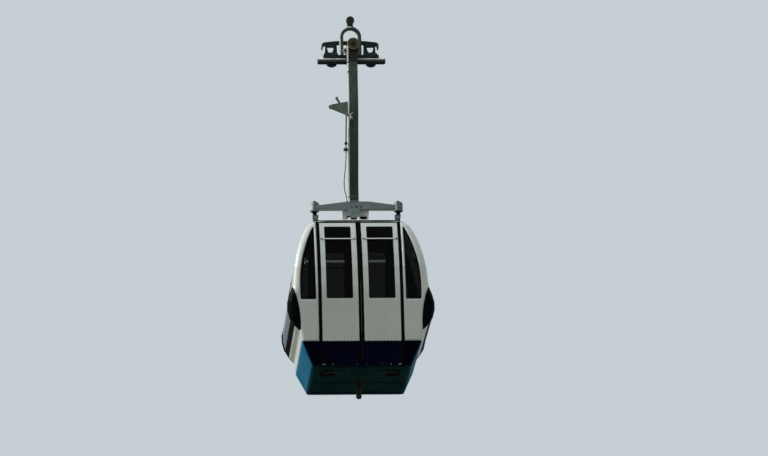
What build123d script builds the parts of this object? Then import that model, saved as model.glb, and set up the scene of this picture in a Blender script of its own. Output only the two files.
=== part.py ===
from build123d import *

import math
import os

# Gondola cabin of a single-rope cable car, with its hanger and detachable grip.
# Frame: the origin is on the rope's axis at the middle of the grip, +X runs along the rope,
# -Y is the door side and +Z is up. Cabin heights are measured from the cabin's underside.

# Rope and jaws
ROPE_R = 25.0
JAW_R = 57.0
JAW_LENGTH = 990.0
NOSE_FLARE = 60.0
NOSE_MOUTH_R = 33.0
NOSE_ROUND = 18.0
FINGER_R = 84.0
FINGER_WIDTH = 140.0
FINGER_ARM = [(95.0, 75.0), (120.0, 25.0), (40.0, -48.0), (40.0, 30.0)]
FINGER_X = 285.0
JAW_OPENING_DEG = (-118.0, 62.0)
FINGER_GAP_DEG = 9.0

# Pivot pin and running wheels
PIVOT_Z = 101.0
PIN_R = 28.0
PIN_CLEARANCE = 0.4
PIN_NEAR_Y = -562.0
PIN_FAR_Y = 212.0
PIN_HEAD_R = 40.0
PIN_SIDE_GAP = 2.0
WHEEL_R = 88.0
TYRE_DEPTH = 30.0
TYRE_ROUND = 8.0
WHEEL_WIDTH = 44.0
WHEEL_RECESS = 8.0
WHEEL_RIM = 6.0
NEAR_WHEEL_Y = -522.0
FAR_WHEEL_Y = 172.0

# Grip body
BODY_NEAR_Y = -330.0
BODY_FAR_Y = 138.0
BODY_HALF_X = 78.0
BODY_ROUND = 16.0
BODY_CHIN = [(-40.0, -62.0), (-92.0, -62.0), (-120.0, 10.0)]
BODY_ROOT_Y = -200.0
BOSS_R = 62.0
SPINE_HALF_X = 402.0
SPINE_Y = (-42.0, 30.0)
SPINE_Z = (14.0, 92.0)
LUG_WIDTH = 25.0
LUG_X = (182.0, 389.0)
LUG_CROWN = 25.0
LUG_CROWN_DEPTH = 22.0
SPRING_Y = 118.0
SPRING_Z = 132.0
SPRING_R = 38.0
SHAFT_Y = 95.0
SHAFT_Z = 45.0
SHAFT_R = 18.0
LUG_R = 38.0
HUB_R = LUG_R - 4.0
SHAFT_CLEARANCE = 0.3

# Opening lever
LEVER_DEPTH = 50.0
LEVER_HALF_X = 160.0
LEVER_INNER_X = 103.0
LEVER_SPRING_Z = 412.0
LEVER_ROUND = 14.0
ROLLER_Z = 662.0
ROLLER_R = 64.0
ROLLER_ROUND = 10.0
ROLLER_WIDTH = 44.0
ROLLER_PIN_R = 14.0
EAR_DEPTH = 18.0
EAR_ROOT_X = 54.0
EAR_TIP_R = 34.0
EAR_SINK = 30.0
ROLLER_SIDE_GAP = 1.0
ROLLER_PIN_HEAD = 4.0

# Traction plate
PLATE_TOP_Z = 375.0
PLATE_THICKNESS = 20.0
PLATE_HALF_X = 418.0
PLATE_FLAT_X = 210.0
PLATE_FALL = 24.0
PLATE_LIP = 70.0
PLATE_LEAN = 6.0
PLATE_BEND_R = 48.0
PLATE_CROWN_R = 400.0
PLATE_NEAR_Y = 162.0
PLATE_FAR_Y = 302.0
BRACKET_X = (187.0, 377.0)
BRACKET_TOP_X = (196.0, 362.0)
BRACKET_BOTTOM_Z = 62.0
BRACKET_DEPTH = 20.0
BRACKET_RELIEF = 1.5
BRACKET_HOLE_X = 290.0
BRACKET_HOLE_HALF = (28.0, 52.0)
BRACKET_HOLE_Z = (200.0, 275.0)
BRACKET_HOLE_CORNER = 14.0

# Hanger
HANGER_X = -14.0
HANGER_Y = -400.0
HEAD_DEPTH = 110.0
HEAD_R = 80.0
HEAD_CHEEK = 110.0
HEAD_ROUND = 12.0
EYE_X = -108.0
EYE_DROP = 69.0
EYE_R = 36.0
EYE_BORE_R = 17.0
EYE_DEPTH = 16.0
TUBE_X = 150.0
TUBE_Y = 104.0
TUBE_CORNER = 30.0
HEAD_FOOT_Z = -150.0
BEND_TOP_Z = -800.0
BEND_FOOT_Z = -1930.0
BEND_R = 850.0

# Cabin: heights from its underside
CABIN_Z = -4780.0
WALL = 35.0
FIT = 0.3
MOVE_GAP = 5.0
SKIRT_TOP = 330.0
WAIST = 500.0
WALL_TOP = 2174.0
FLOOR_TOP = 60.0

# Plan sections of the body, straight between each two: height, half length, half width, corner radius
SKIRT_SECTIONS = [
    (0.0, 700.0, 810.0, 60.0),
    (SKIRT_TOP, 845.0, 953.0, 42.0),
]
UPPER_SECTIONS = [
    (SKIRT_TOP, 845.0, 953.0, 42.0),
    (WAIST, 868.0, 957.0, 42.0),
    (580.0, 945.0, 957.0, 62.0),
    (680.0, 1010.0, 957.0, 88.0),
    (800.0, 1043.0, 957.0, 110.0),
    (910.0, 1043.0, 957.0, 110.0),
    (1030.0, 1012.0, 954.0, 110.0),
    (1140.0, 970.0, 946.0, 110.0),
    (1440.0, 946.0, 899.0, 110.0),
    (1640.0, 910.0, 847.0, 110.0),
    (1830.0, 862.0, 781.0, 108.0),
    (1990.0, 802.0, 712.0, 104.0),
    (2110.0, 742.0, 650.0, 100.0),
    (WALL_TOP, 674.0, 614.0, 95.0),
]
ROOF_SECTIONS = [
    (WALL_TOP, 674.0, 614.0, 95.0),
    (2198.0, 636.0, 592.0, 110.0),
    (2228.0, 575.0, 536.0, 130.0),
    (2262.0, 455.0, 424.0, 150.0),
    (2285.0, 300.0, 290.0, 150.0),
]

# Doors and windows, in x and height
DOOR_EDGE = 603.0
CORNER_SPLIT = 0.3
LEAF_OUTER = 553.0
LEAF_SEAL_OUTER = 595.0
LEAF_INNER = 38.0
LEAF_SEAL_INNER = 3.0
LEAF_TOP = WALL_TOP - 24.0
LEAF_FOOT = 8.0
SEAL_DEPTH = 26.0
WINDOW_X = (112.0, 486.0)
WINDOW_Z = (950.0, 2085.0)
WINDOW_CORNER = 22.0
GLASS_INSET = 12.0
GLASS_THICKNESS = 6.0
BAR_Z = 1880.0
BAR_X = (97.0, 500.0)
BAR_HEIGHT = 15.0
BAR_DEPTH = 16.0
QUARTER_X = (634.0, 848.0)
QUARTER_Z = (937.0, 2072.0)
QUARTER_BULGE = (798.0, 1640.0)
QUARTER_APEX_X = 650.0
QUARTER_CORNER = 14.0

# Bulged end bays
BAY_SIDE = 88.0
PANE_FOOT = 655.0
SEAL_FOOT = 575.0
PANE_TOP = WALL_TOP - 34.0
CHEEK_TOP = 1135.0
CHEEK_MARGIN = 50.0
BAY_OUTLINE = [(957.0, 900.0), (894.0, 1500.0), (633.0, PANE_TOP)]
CHEEK_LINE = [(958.0, CHEEK_TOP), (884.0, 880.0), (858.0, WAIST)]

# Door swing arms: one vertical axis for each leaf
ARM_AXIS_X = 505.0
ARM_AXIS_Y = -604.0
ARM_LENGTH = 280.0
ARM_WIDTH = 30.0
ARM_THICKNESS = 12.0
ARM_PIN_R = 7.0
ARM_CLEARANCE = 0.3
ARM_POST_R = 18.0
UPPER_ARM_Z = WALL_TOP - 18.0
UPPER_PIN_LENGTH = 21.0
PIN_SINK = 2.0
LOWER_ARM_Z = -38.0
LEAF_BRACKET_Z = (-20.0, -12.0)
LEAF_BRACKET_WIDTH = 40.0
LEAF_BRACKET_WALL = 20.0
LEAF_BRACKET_SINK = 4.0

# Roof gear and crossbeam
GASKET_Y = (-583.0, -568.0)
GASKET_END_GAP = 4.0
BEAM_X = 26.0
DAMPER_X = 602.0
DAMPER_R = 66.0
DAMPER_Z = (2505.0, 2630.0)
NECK_R = 30.0
NECK_FOOT = 2440.0
NECK_FLARE = 10.0
NECK_FLARE_HEIGHT = 14.0
CUP_ROUND = 6.0
CAP_R = 54.0
CAP_HEIGHT = 14.0
CAP_BEVEL = (8.0, 6.0)
STUD_R = 11.0
STUD_HEIGHT = 24.0
BEAM_FOOT = 2532.0
BEAM_TOP = 2648.0
BEAM_END_TOP = 2588.0
BEAM_FLAT_X = (-111.0, 196.0)
BEAM_WIDTH = 100.0
BEAM_ROUND = 6.0
TAB_X = -8.0
TAB_HALF_X = (66.0, 92.0)
TAB_FOOT = 2395.0
TAB_HOLE_Z = 2469.0
TAB_HOLE_R = 16.0
TAB_DEPTH = 24.0
BOX_X = (-177.0, 187.0)
BOX_LEAN = 24.0
BOX_Y = (62.0, 250.0)
BOX_TOP = 2560.0
BOX_FOOT = 2230.0
BOX_FINS = 4
BOX_FIN_PITCH = 26.0
BOX_FIN_GROOVE = 12.0
BOX_FIN_DEPTH = 8.0
BOX_FIN_INSET = 42.0
FOOT_WIDTH = 84.0
FOOT_DEPTH = 110.0
FOOT_SHIFT = 10.0
FOOT_TAPER = 8.0
FOOT_STEP = 60.0
FOOT_SPREAD = 104.0
FOOT_INSET = 42.0
ROOF_SEAT = 5.0
ROOF_WALL = 28.0

# Underside
KEEL_WIDTH = 100.0
KEEL_DEPTH = 14.0
PAD_X = (350.0, 570.0)
PAD_Y = (-560.0, -240.0)
PAD_DEPTH = 6.0
GUIDE_TIP = -267.0
GUIDE_R = 44.0
GUIDE_FLANGE_R = 70.0
GUIDE_FLANGE = (14.0, 20.0)
GUIDE_TIP_R = 38.0
GUIDE_BEVEL = 12.0

# Benches
BENCH_HALF_Y = 750.0
BENCH_OUTLINE = [
    (440.0, FLOOR_TOP), (440.0, 400.0), (395.0, 405.0), (395.0, 460.0), (738.0, 440.0), (860.0, 1050.0),
    (905.0, 1050.0), (800.0, 385.0), (468.0, 400.0), (468.0, FLOOR_TOP),
]
BENCH_ROUND = 12.0

# Door control on the hanger
LEVER_PLATE = [
    (-371.0, -824.0), (-322.0, -803.0), (-228.0, -786.0), (-266.0, -722.0), (-240.0, -706.0),
    (-198.0, -780.0), (-92.0, -760.0), (-92.0, -930.0), (-22.0, -1004.0), (-46.0, -1044.0),
    (-107.0, -972.0), (-323.0, -877.0), (-364.0, -870.0),
]
LEVER_PLATE_DEPTH = 12.0
LEVER_PLATE_Y = -460.0
CONTROL_ROLLER = (-253.0, -716.0)
CONTROL_ROLLER_R = 20.0
CONTROL_ROLLER_WIDTH = 24.0
CONTROL_PIVOT = (-44.0, -1014.0)
CONTROL_PIVOT_R = 22.0
CONTROL_PIVOT_END = -330.0
PIVOT_HEAD = 6.0
ROD_R = 8.0
ROD_PIN_R = 10.0
ROD_SPACING = 34.0
ROD_TOP = (-118.0, -430.0, -945.0)
ROD_FOOT = (-118.0, -240.0, -1318.0)
YOKE_SIZE = (32.0, 58.0, 30.0)
STAY_X = (-152.0, -80.0)
STAY_Y = (-225.0, -170.0)
STAY_Z = (-1413.0, -1383.0)
CABLE_R = 6.0
CABLE_POINTS = [
    (-118.0, -196.0, -1413.8), (-118.0, -184.0, -1505.0), (-126.0, -120.0, -1660.0),
    (-148.0, -60.0, -1830.0), (-140.0, -30.0, -1960.0), (-114.0, -18.0, -2050.0),
    (-106.0, -14.0, -2131.2),
]

SIDES = (-1, 1)
REACH = 1200.0


def level(height):
    """Row height of a height above the cabin's underside."""
    return CABIN_Z + height


def body_solid(sections, inset=0.0, drop=0.0):
    """Closed solid of the body through plan sections, moved in by inset."""
    with BuildPart() as body:
        for height, half_length, half_width, corner in sections:
            with BuildSketch(Plane.XY.offset(level(height - drop))):
                RectangleRounded(2 * (half_length - inset), 2 * (half_width - inset), corner - inset)
        loft(ruled=True)
    return body.part


def front_tool(points_or_sketch, y_low, y_high):
    """Solid of an outline in x and row height, between two y values."""
    with BuildPart() as tool:
        with BuildSketch(Plane.XZ.offset(-y_high)):
            add(points_or_sketch)
        extrude(amount=y_high - y_low)
    return tool.part


def box_tool(x_range, y_range, z_range):
    """Solid between three pairs of values."""
    with BuildPart() as tool:
        with Locations((sum(x_range) / 2, sum(y_range) / 2, sum(z_range) / 2)):
            Box(x_range[1] - x_range[0], y_range[1] - y_range[0], z_range[1] - z_range[0])
    return tool.part


def export(part, name):
    """Label one sub-part and write it."""
    part.label = name
    export_step(part, f"parts/{name}.step")


os.makedirs("parts", exist_ok=True)


# Shells of the body that the panels are cut from
with BuildPart() as skirt_shell:
    add(body_solid(SKIRT_SECTIONS))
    add(body_solid(SKIRT_SECTIONS, WALL), mode=Mode.SUBTRACT)
with BuildPart() as wall_shell:
    add(body_solid(UPPER_SECTIONS))
    add(body_solid(UPPER_SECTIONS, WALL), mode=Mode.SUBTRACT)
with BuildPart() as glass_shell:
    add(body_solid(UPPER_SECTIONS, GLASS_INSET))
    add(body_solid(UPPER_SECTIONS, GLASS_INSET + GLASS_THICKNESS), mode=Mode.SUBTRACT)
with BuildPart() as seal_shell:
    for sections in (SKIRT_SECTIONS, UPPER_SECTIONS):
        add(body_solid(sections))
        add(body_solid(sections, SEAL_DEPTH), mode=Mode.SUBTRACT)


def window_sketch(side, gap=0.0):
    """Door window outline on one side of the middle, made smaller by gap."""
    with BuildSketch() as window:
        with Locations((side * sum(WINDOW_X) / 2, level(sum(WINDOW_Z) / 2))):
            RectangleRounded(
                WINDOW_X[1] - WINDOW_X[0] - 2 * gap, WINDOW_Z[1] - WINDOW_Z[0] - 2 * gap, WINDOW_CORNER - gap
            )
    return window.sketch


def quarter_sketch(side, gap=0.0):
    """Quarter window outline: straight beside the door, curved along the arch."""
    with BuildSketch() as window:
        with BuildLine():
            Polyline(
                (side * QUARTER_APEX_X, level(QUARTER_Z[1])),
                (side * QUARTER_X[0], level(QUARTER_Z[1])),
                (side * QUARTER_X[0], level(QUARTER_Z[0])),
                (side * QUARTER_X[1], level(QUARTER_Z[0])),
            )
            ThreePointArc(
                (side * QUARTER_X[1], level(QUARTER_Z[0])),
                (side * QUARTER_BULGE[0], level(QUARTER_BULGE[1])),
                (side * QUARTER_APEX_X, level(QUARTER_Z[1])),
            )
        make_face()
        if gap:
            offset(amount=-gap, kind=Kind.INTERSECTION)
        fillet(window.vertices().group_by(Axis.Y)[0], QUARTER_CORNER - gap)
    return window.sketch


def cheek_sketch(side):
    """Outline of the black corner cheek, seen from the door side."""
    top, middle, foot = CHEEK_LINE
    with BuildSketch() as cheek:
        with BuildLine():
            ThreePointArc(*[(side * x, level(z)) for x, z in (top, middle, foot)])
            Polyline(
                (side * foot[0], level(foot[1])),
                (side * REACH, level(foot[1])),
                (side * REACH, level(top[1])),
                (side * top[0], level(top[1])),
            )
        make_face()
    return cheek.sketch


def bay_opening(foot, gap=0.0):
    """Solid along x whose outline is the end opening between the corners of a bay."""
    side = BAY_SIDE + gap
    top = PANE_TOP - gap
    straight, curved, crown = ((half - side, level(z)) for half, z in BAY_OUTLINE)
    with BuildPart() as tool:
        with BuildSketch(Plane.YZ):
            with BuildLine():
                for hand in SIDES:
                    ThreePointArc(
                        (hand * straight[0], straight[1]),
                        (hand * curved[0], curved[1]),
                        (hand * crown[0], level(top)),
                    )
                    Line((hand * straight[0], straight[1]), (hand * straight[0], level(foot)))
                Line((straight[0], level(foot)), (-straight[0], level(foot)))
                Line((crown[0], level(top)), (-crown[0], level(top)))
            make_face()
        extrude(amount=REACH, both=True)
    return tool.part


def corner_tool(side):
    """Solid that holds both black cheeks of one end."""
    with BuildPart() as corners:
        add(front_tool(cheek_sketch(side), -REACH, REACH))
        add(bay_opening(WAIST - CHEEK_MARGIN), mode=Mode.SUBTRACT)
    return corners.part


# Grip body: boss for the pivot pin, saddle over the fixed jaw, spine, lugs for the jaw shaft
# and the two spring housings between the lugs
with BuildPart() as grip_body:
    with BuildSketch(Plane.YZ.offset(-BODY_HALF_X)) as body_outline:
        with BuildLine():
            Polyline(
                (BODY_NEAR_Y, PIVOT_Z - BOSS_R), (BODY_NEAR_Y, PIVOT_Z + BOSS_R),
                (BODY_FAR_Y, PIVOT_Z + BOSS_R), (BODY_FAR_Y, SHAFT_Z - LUG_R), (SPINE_Y[1], SHAFT_Z - LUG_R),
                *BODY_CHIN, (BODY_ROOT_Y, PIVOT_Z - BOSS_R), close=True,
            )
        make_face()
        fillet(body_outline.vertices(), BODY_ROUND)
    extrude(amount=2 * BODY_HALF_X)
    with BuildSketch(Plane.YZ.offset(-SPINE_HALF_X)):
        with Locations((sum(SPINE_Y) / 2, sum(SPINE_Z) / 2)):
            Rectangle(SPINE_Y[1] - SPINE_Y[0], SPINE_Z[1] - SPINE_Z[0])
    extrude(amount=2 * SPINE_HALF_X)
    for side in SIDES:
        for lug_x in LUG_X:
            with BuildSketch(Plane.YZ.offset(side * lug_x - LUG_WIDTH / 2)):
                with Locations((SHAFT_Y, SHAFT_Z)):
                    Circle(LUG_R)
                with BuildLine():
                    Polyline(
                        (0, SPINE_Z[1]), (PLATE_NEAR_Y - LUG_CROWN_DEPTH, SPINE_Z[1] + LUG_CROWN),
                        (PLATE_NEAR_Y, SPINE_Z[1] + LUG_CROWN), (PLATE_NEAR_Y, BRACKET_BOTTOM_Z),
                        (SHAFT_Y + LUG_R / 2, SHAFT_Z - LUG_R / 2), (SHAFT_Y - LUG_R, SHAFT_Z),
                        (0, SHAFT_Z), close=True,
                    )
                make_face()
            extrude(amount=LUG_WIDTH)
        with Locations(Location((side * sum(LUG_X) / 2, SPRING_Y, SPRING_Z), (0, 90, 0))):
            Cylinder(SPRING_R, LUG_X[1] - LUG_X[0])
    with BuildSketch(Plane.YZ.offset(-JAW_LENGTH / 2)):
        Circle(JAW_R + FIT)
        with Locations((SHAFT_Y, SHAFT_Z)):
            Circle(SHAFT_R + SHAFT_CLEARANCE)
    extrude(amount=JAW_LENGTH, mode=Mode.SUBTRACT)
    with BuildSketch(Plane.XZ.offset(-PIN_FAR_Y)):
        with Locations((0, PIVOT_Z)):
            Circle(PIN_R + FIT)
    extrude(amount=PIN_FAR_Y - PIN_NEAR_Y, mode=Mode.SUBTRACT)
export(grip_body.part, "grip_body")

# Fixed jaw: half-open round channel over the rope, with long flared noses
opening_low, opening_high = JAW_OPENING_DEG
mouth = [
    (2 * JAW_R * math.cos(math.radians(angle)), 2 * JAW_R * math.sin(math.radians(angle)))
    for angle in JAW_OPENING_DEG
]
with BuildPart() as fixed_jaw:
    with BuildSketch(Plane.YZ.offset(-JAW_LENGTH / 2)):
        Circle(JAW_R)
        Circle(ROPE_R, mode=Mode.SUBTRACT)
        with BuildLine():
            Polyline((0, 0), mouth[0], (3 * JAW_R, -2 * JAW_R), (3 * JAW_R, 2 * JAW_R), mouth[1], close=True)
        make_face(mode=Mode.SUBTRACT)
    extrude(amount=JAW_LENGTH)
    for side in SIDES:
        with BuildSketch(Plane.XZ):
            with BuildLine():
                Polyline(
                    (side * JAW_LENGTH / 2, 0),
                    (side * JAW_LENGTH / 2, NOSE_MOUTH_R),
                    (side * (JAW_LENGTH / 2 - NOSE_FLARE), ROPE_R),
                    (side * (JAW_LENGTH / 2 - NOSE_FLARE), 0),
                    close=True,
                )
            make_face()
        revolve(axis=Axis.X, mode=Mode.SUBTRACT)
        with BuildSketch(Plane.XZ):
            with BuildLine():
                Polyline(
                    (side * (JAW_LENGTH / 2 - NOSE_ROUND), JAW_R),
                    (side * JAW_LENGTH / 2, JAW_R - NOSE_ROUND),
                    (side * (JAW_LENGTH / 2 + FIT), JAW_R - NOSE_ROUND),
                    (side * (JAW_LENGTH / 2 + FIT), JAW_R + FIT),
                    (side * (JAW_LENGTH / 2 - NOSE_ROUND), JAW_R + FIT),
                    close=True,
                )
            make_face()
        revolve(axis=Axis.X, mode=Mode.SUBTRACT)
export(fixed_jaw.part, "fixed_jaw")

# Moving jaws: two barrel-shaped fingers under the rope on one shaft
finger_low = math.radians(opening_low + FINGER_GAP_DEG)
finger_arc = opening_high - opening_low - 2 * FINGER_GAP_DEG
finger_plane = Plane(
    origin=(0, 0, 0), x_dir=(1, 0, 0), z_dir=(0, -math.sin(finger_low), math.cos(finger_low))
)
with BuildPart() as moving_jaws:
    with BuildSketch(Plane.YZ.offset(-SPINE_HALF_X - PIN_SIDE_GAP)):
        with Locations((SHAFT_Y, SHAFT_Z)):
            Circle(SHAFT_R)
    extrude(amount=2 * (SPINE_HALF_X + PIN_SIDE_GAP))
    for side in SIDES:
        finger_start = side * FINGER_X - FINGER_WIDTH / 2
        finger_end = side * FINGER_X + FINGER_WIDTH / 2
        with BuildSketch(Plane.YZ.offset(finger_start)):
            with Locations((SHAFT_Y, SHAFT_Z)):
                Circle(HUB_R)
            with BuildLine():
                Polyline(*FINGER_ARM, close=True)
            make_face()
            Circle(ROPE_R + FIT, mode=Mode.SUBTRACT)
        extrude(amount=FINGER_WIDTH)
        with BuildSketch(finger_plane):
            with BuildLine():
                Polyline(
                    (finger_start, JAW_R), (finger_start, ROPE_R + FIT),
                    (finger_end, ROPE_R + FIT), (finger_end, JAW_R),
                )
                ThreePointArc((finger_start, JAW_R), (side * FINGER_X, FINGER_R), (finger_end, JAW_R))
            make_face()
        revolve(axis=Axis.X, revolution_arc=finger_arc)
export(moving_jaws.part, "moving_jaws")

# Opening lever: an arch on the jaw shaft, with an ear and pin for its roller
lever_far_y = SHAFT_Y + LEVER_DEPTH / 2
lever_crown_z = LEVER_SPRING_Z + LEVER_HALF_X
roller_y = lever_far_y - EAR_DEPTH - ROLLER_SIDE_GAP - ROLLER_WIDTH / 2
roller_pin_end = roller_y - ROLLER_WIDTH / 2 - ROLLER_PIN_HEAD
with BuildPart() as jaw_lever:
    with BuildSketch(Plane.XZ.offset(-lever_far_y)):
        for half_x, foot_z, keep in (
            (LEVER_HALF_X, SHAFT_Z, Mode.ADD), (LEVER_INNER_X, SHAFT_Z - 1, Mode.SUBTRACT),
        ):
            with BuildLine():
                Polyline(
                    (-half_x, LEVER_SPRING_Z), (-half_x, foot_z), (half_x, foot_z), (half_x, LEVER_SPRING_Z)
                )
                ThreePointArc(
                    (half_x, LEVER_SPRING_Z), (0, LEVER_SPRING_Z + half_x), (-half_x, LEVER_SPRING_Z)
                )
            make_face(mode=keep)
    extrude(amount=LEVER_DEPTH)
    fillet(jaw_lever.faces().filter_by(Axis.Y).edges(), LEVER_ROUND)
    for side in SIDES:
        hub_middle = side * (LEVER_HALF_X + LEVER_INNER_X) / 2
        with Locations(Location((hub_middle, SHAFT_Y, SHAFT_Z), (0, 90, 0))):
            Cylinder(HUB_R, LEVER_HALF_X - LEVER_INNER_X)
    with BuildSketch(Plane.XZ.offset(-lever_far_y)):
        with BuildLine():
            Polyline(
                (-EAR_ROOT_X, lever_crown_z - EAR_SINK), (EAR_ROOT_X, lever_crown_z - EAR_SINK),
                (EAR_TIP_R, ROLLER_Z), (-EAR_TIP_R, ROLLER_Z), close=True,
            )
        make_face()
        with Locations((0, ROLLER_Z)):
            Circle(EAR_TIP_R)
    extrude(amount=EAR_DEPTH)
    with BuildSketch(Plane.XZ.offset(-lever_far_y)):
        with Locations((0, ROLLER_Z)):
            Circle(ROLLER_PIN_R)
    extrude(amount=lever_far_y - roller_pin_end)
    with Locations(Location((0, SHAFT_Y, SHAFT_Z), (0, 90, 0))):
        Cylinder(SHAFT_R + FIT, 4 * LEVER_HALF_X, mode=Mode.SUBTRACT)
export(jaw_lever.part, "jaw_lever")

# Lever roller
with BuildPart() as lever_roller:
    with Locations(Location((0, roller_y, ROLLER_Z), (90, 0, 0))):
        Cylinder(ROLLER_R, ROLLER_WIDTH)
    fillet(lever_roller.edges().filter_by(GeomType.CIRCLE), ROLLER_ROUND)
    with Locations(Location((0, roller_y, ROLLER_Z), (90, 0, 0))):
        Cylinder(ROLLER_PIN_R + PIN_CLEARANCE, 2 * ROLLER_WIDTH, mode=Mode.SUBTRACT)
export(lever_roller.part, "lever_roller")

# Pivot pin with its end heads and the collar between the near wheel and the hanger
near_wheel_inner = NEAR_WHEEL_Y + WHEEL_WIDTH / 2 + PIN_SIDE_GAP
pin_rings = (
    (PIN_NEAR_Y, NEAR_WHEEL_Y - WHEEL_WIDTH / 2 - PIN_SIDE_GAP),
    (near_wheel_inner, HANGER_Y - HEAD_DEPTH / 2 - PIN_SIDE_GAP),
    (FAR_WHEEL_Y + WHEEL_WIDTH / 2 + PIN_SIDE_GAP, PIN_FAR_Y),
)
with BuildPart() as pivot_pin:
    with BuildSketch(Plane.XZ.offset(-PIN_FAR_Y)):
        with Locations((0, PIVOT_Z)):
            Circle(PIN_R)
    extrude(amount=PIN_FAR_Y - PIN_NEAR_Y)
    for ring_start, ring_end in pin_rings:
        with BuildSketch(Plane.XZ.offset(-ring_end)):
            with Locations((0, PIVOT_Z)):
                Circle(PIN_HEAD_R)
        extrude(amount=ring_end - ring_start)
export(pivot_pin.part, "pivot_pin")

# Running wheels: tyre on hub, with a shallow recess on both faces of the hub
for name, wheel_y in (("near_wheel", NEAR_WHEEL_Y), ("far_wheel", FAR_WHEEL_Y)):
    with BuildPart() as tyre:
        with BuildSketch(Plane.XZ.offset(-wheel_y - WHEEL_WIDTH / 2)):
            with Locations((0, PIVOT_Z)):
                Circle(WHEEL_R)
                Circle(WHEEL_R - TYRE_DEPTH, mode=Mode.SUBTRACT)
        extrude(amount=WHEEL_WIDTH)
        fillet(tyre.edges().filter_by(GeomType.CIRCLE).group_by(SortBy.RADIUS)[-1], TYRE_ROUND)
    export(tyre.part, f"{name}_tyre")
    with BuildPart() as hub:
        with BuildSketch(Plane.XZ.offset(-wheel_y - WHEEL_WIDTH / 2)):
            with Locations((0, PIVOT_Z)):
                Circle(WHEEL_R - TYRE_DEPTH)
                Circle(PIN_R + PIN_CLEARANCE, mode=Mode.SUBTRACT)
        extrude(amount=WHEEL_WIDTH)
        for face_y, direction in ((wheel_y - WHEEL_WIDTH / 2, 1), (wheel_y + WHEEL_WIDTH / 2, -1)):
            with BuildSketch(Plane(origin=(0, face_y, PIVOT_Z), x_dir=(1, 0, 0), z_dir=(0, direction, 0))):
                Circle(WHEEL_R - TYRE_DEPTH - WHEEL_RIM)
                Circle(PIN_HEAD_R, mode=Mode.SUBTRACT)
            extrude(amount=WHEEL_RECESS, mode=Mode.SUBTRACT)
    export(hub.part, f"{name}_hub")

# Traction plate: gently crowned strip with bent ends
plate_end_z = PLATE_TOP_Z - PLATE_FALL
with BuildPart() as traction_plate:
    with BuildSketch(Plane.XZ.offset(-PLATE_FAR_Y)):
        with BuildLine():
            FilletPolyline(
                (-PLATE_HALF_X, plate_end_z - PLATE_LIP), (PLATE_LEAN - PLATE_HALF_X, plate_end_z),
                (-PLATE_FLAT_X, PLATE_TOP_Z), (PLATE_FLAT_X, PLATE_TOP_Z),
                (PLATE_HALF_X - PLATE_LEAN, plate_end_z), (PLATE_HALF_X, plate_end_z - PLATE_LIP),
                radius=[PLATE_BEND_R, PLATE_CROWN_R, PLATE_CROWN_R, PLATE_BEND_R],
            )
            offset(amount=-PLATE_THICKNESS, side=Side.RIGHT)
        make_face()
    extrude(amount=PLATE_FAR_Y - PLATE_NEAR_Y)
export(traction_plate.part, "traction_plate")

# Plate brackets: trapezoid frames with an opening
bracket_top = PLATE_TOP_Z - PLATE_THICKNESS - FIT
bracket_slope = PLATE_FALL / (PLATE_HALF_X - PLATE_LEAN - PLATE_FLAT_X)
bracket_end_top = bracket_top - bracket_slope * (BRACKET_TOP_X[1] - PLATE_FLAT_X) - FIT
hole_low, hole_high = BRACKET_HOLE_Z
hole_foot, hole_crown = BRACKET_HOLE_HALF
with BuildPart() as plate_brackets:
    for side in SIDES:
        with BuildSketch(Plane.XZ.offset(-PLATE_NEAR_Y - FIT - BRACKET_DEPTH)):
            with BuildLine():
                Polyline(
                    (side * BRACKET_X[0], BRACKET_BOTTOM_Z),
                    (side * BRACKET_X[1], BRACKET_BOTTOM_Z),
                    (side * BRACKET_TOP_X[1], bracket_end_top),
                    (side * PLATE_FLAT_X, bracket_top - BRACKET_RELIEF),
                    (side * BRACKET_TOP_X[0], bracket_top),
                    close=True,
                )
            make_face()
            with BuildLine():
                FilletPolyline(
                    (side * (BRACKET_HOLE_X - hole_foot), hole_low),
                    (side * (BRACKET_HOLE_X + hole_foot), hole_low),
                    (side * (BRACKET_HOLE_X + hole_crown), hole_high),
                    (side * (BRACKET_HOLE_X - hole_crown), hole_high),
                    close=True,
                    radius=BRACKET_HOLE_CORNER,
                )
            make_face(mode=Mode.SUBTRACT)
        extrude(amount=BRACKET_DEPTH)
export(plate_brackets.part, "plate_brackets")

# Hanger head on the pivot pin, with a small eye on its side
with BuildPart() as hanger_head:
    with BuildSketch(Plane.XZ.offset(-HANGER_Y - HEAD_DEPTH / 2)):
        with Locations((0, PIVOT_Z)):
            Circle(HEAD_R)
        with BuildLine():
            Polyline(
                (-HEAD_R, PIVOT_Z),
                (-HEAD_R, PIVOT_Z - HEAD_CHEEK),
                (HANGER_X - TUBE_X / 2, HEAD_FOOT_Z),
                (HANGER_X + TUBE_X / 2, HEAD_FOOT_Z),
                (HEAD_R, PIVOT_Z - HEAD_CHEEK),
                (HEAD_R, PIVOT_Z),
                close=True,
            )
        make_face()
    extrude(amount=HEAD_DEPTH)
    rim = hanger_head.faces().filter_by(Axis.Y).edges()
    fillet(rim.filter_by(lambda edge: edge.center().Z > HEAD_FOOT_Z + HEAD_ROUND), HEAD_ROUND)
    with Locations(Location((EYE_X, HANGER_Y, PIVOT_Z - EYE_DROP), (90, 0, 0))):
        Cylinder(EYE_R, EYE_DEPTH)
        Cylinder(EYE_BORE_R, EYE_DEPTH, mode=Mode.SUBTRACT)
    with BuildSketch(Plane.XZ.offset(-HANGER_Y - HEAD_DEPTH)):
        with Locations((0, PIVOT_Z)):
            Circle(PIN_R + PIN_CLEARANCE)
    extrude(amount=2 * HEAD_DEPTH, mode=Mode.SUBTRACT)
export(hanger_head.part, "hanger_head")

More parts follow.
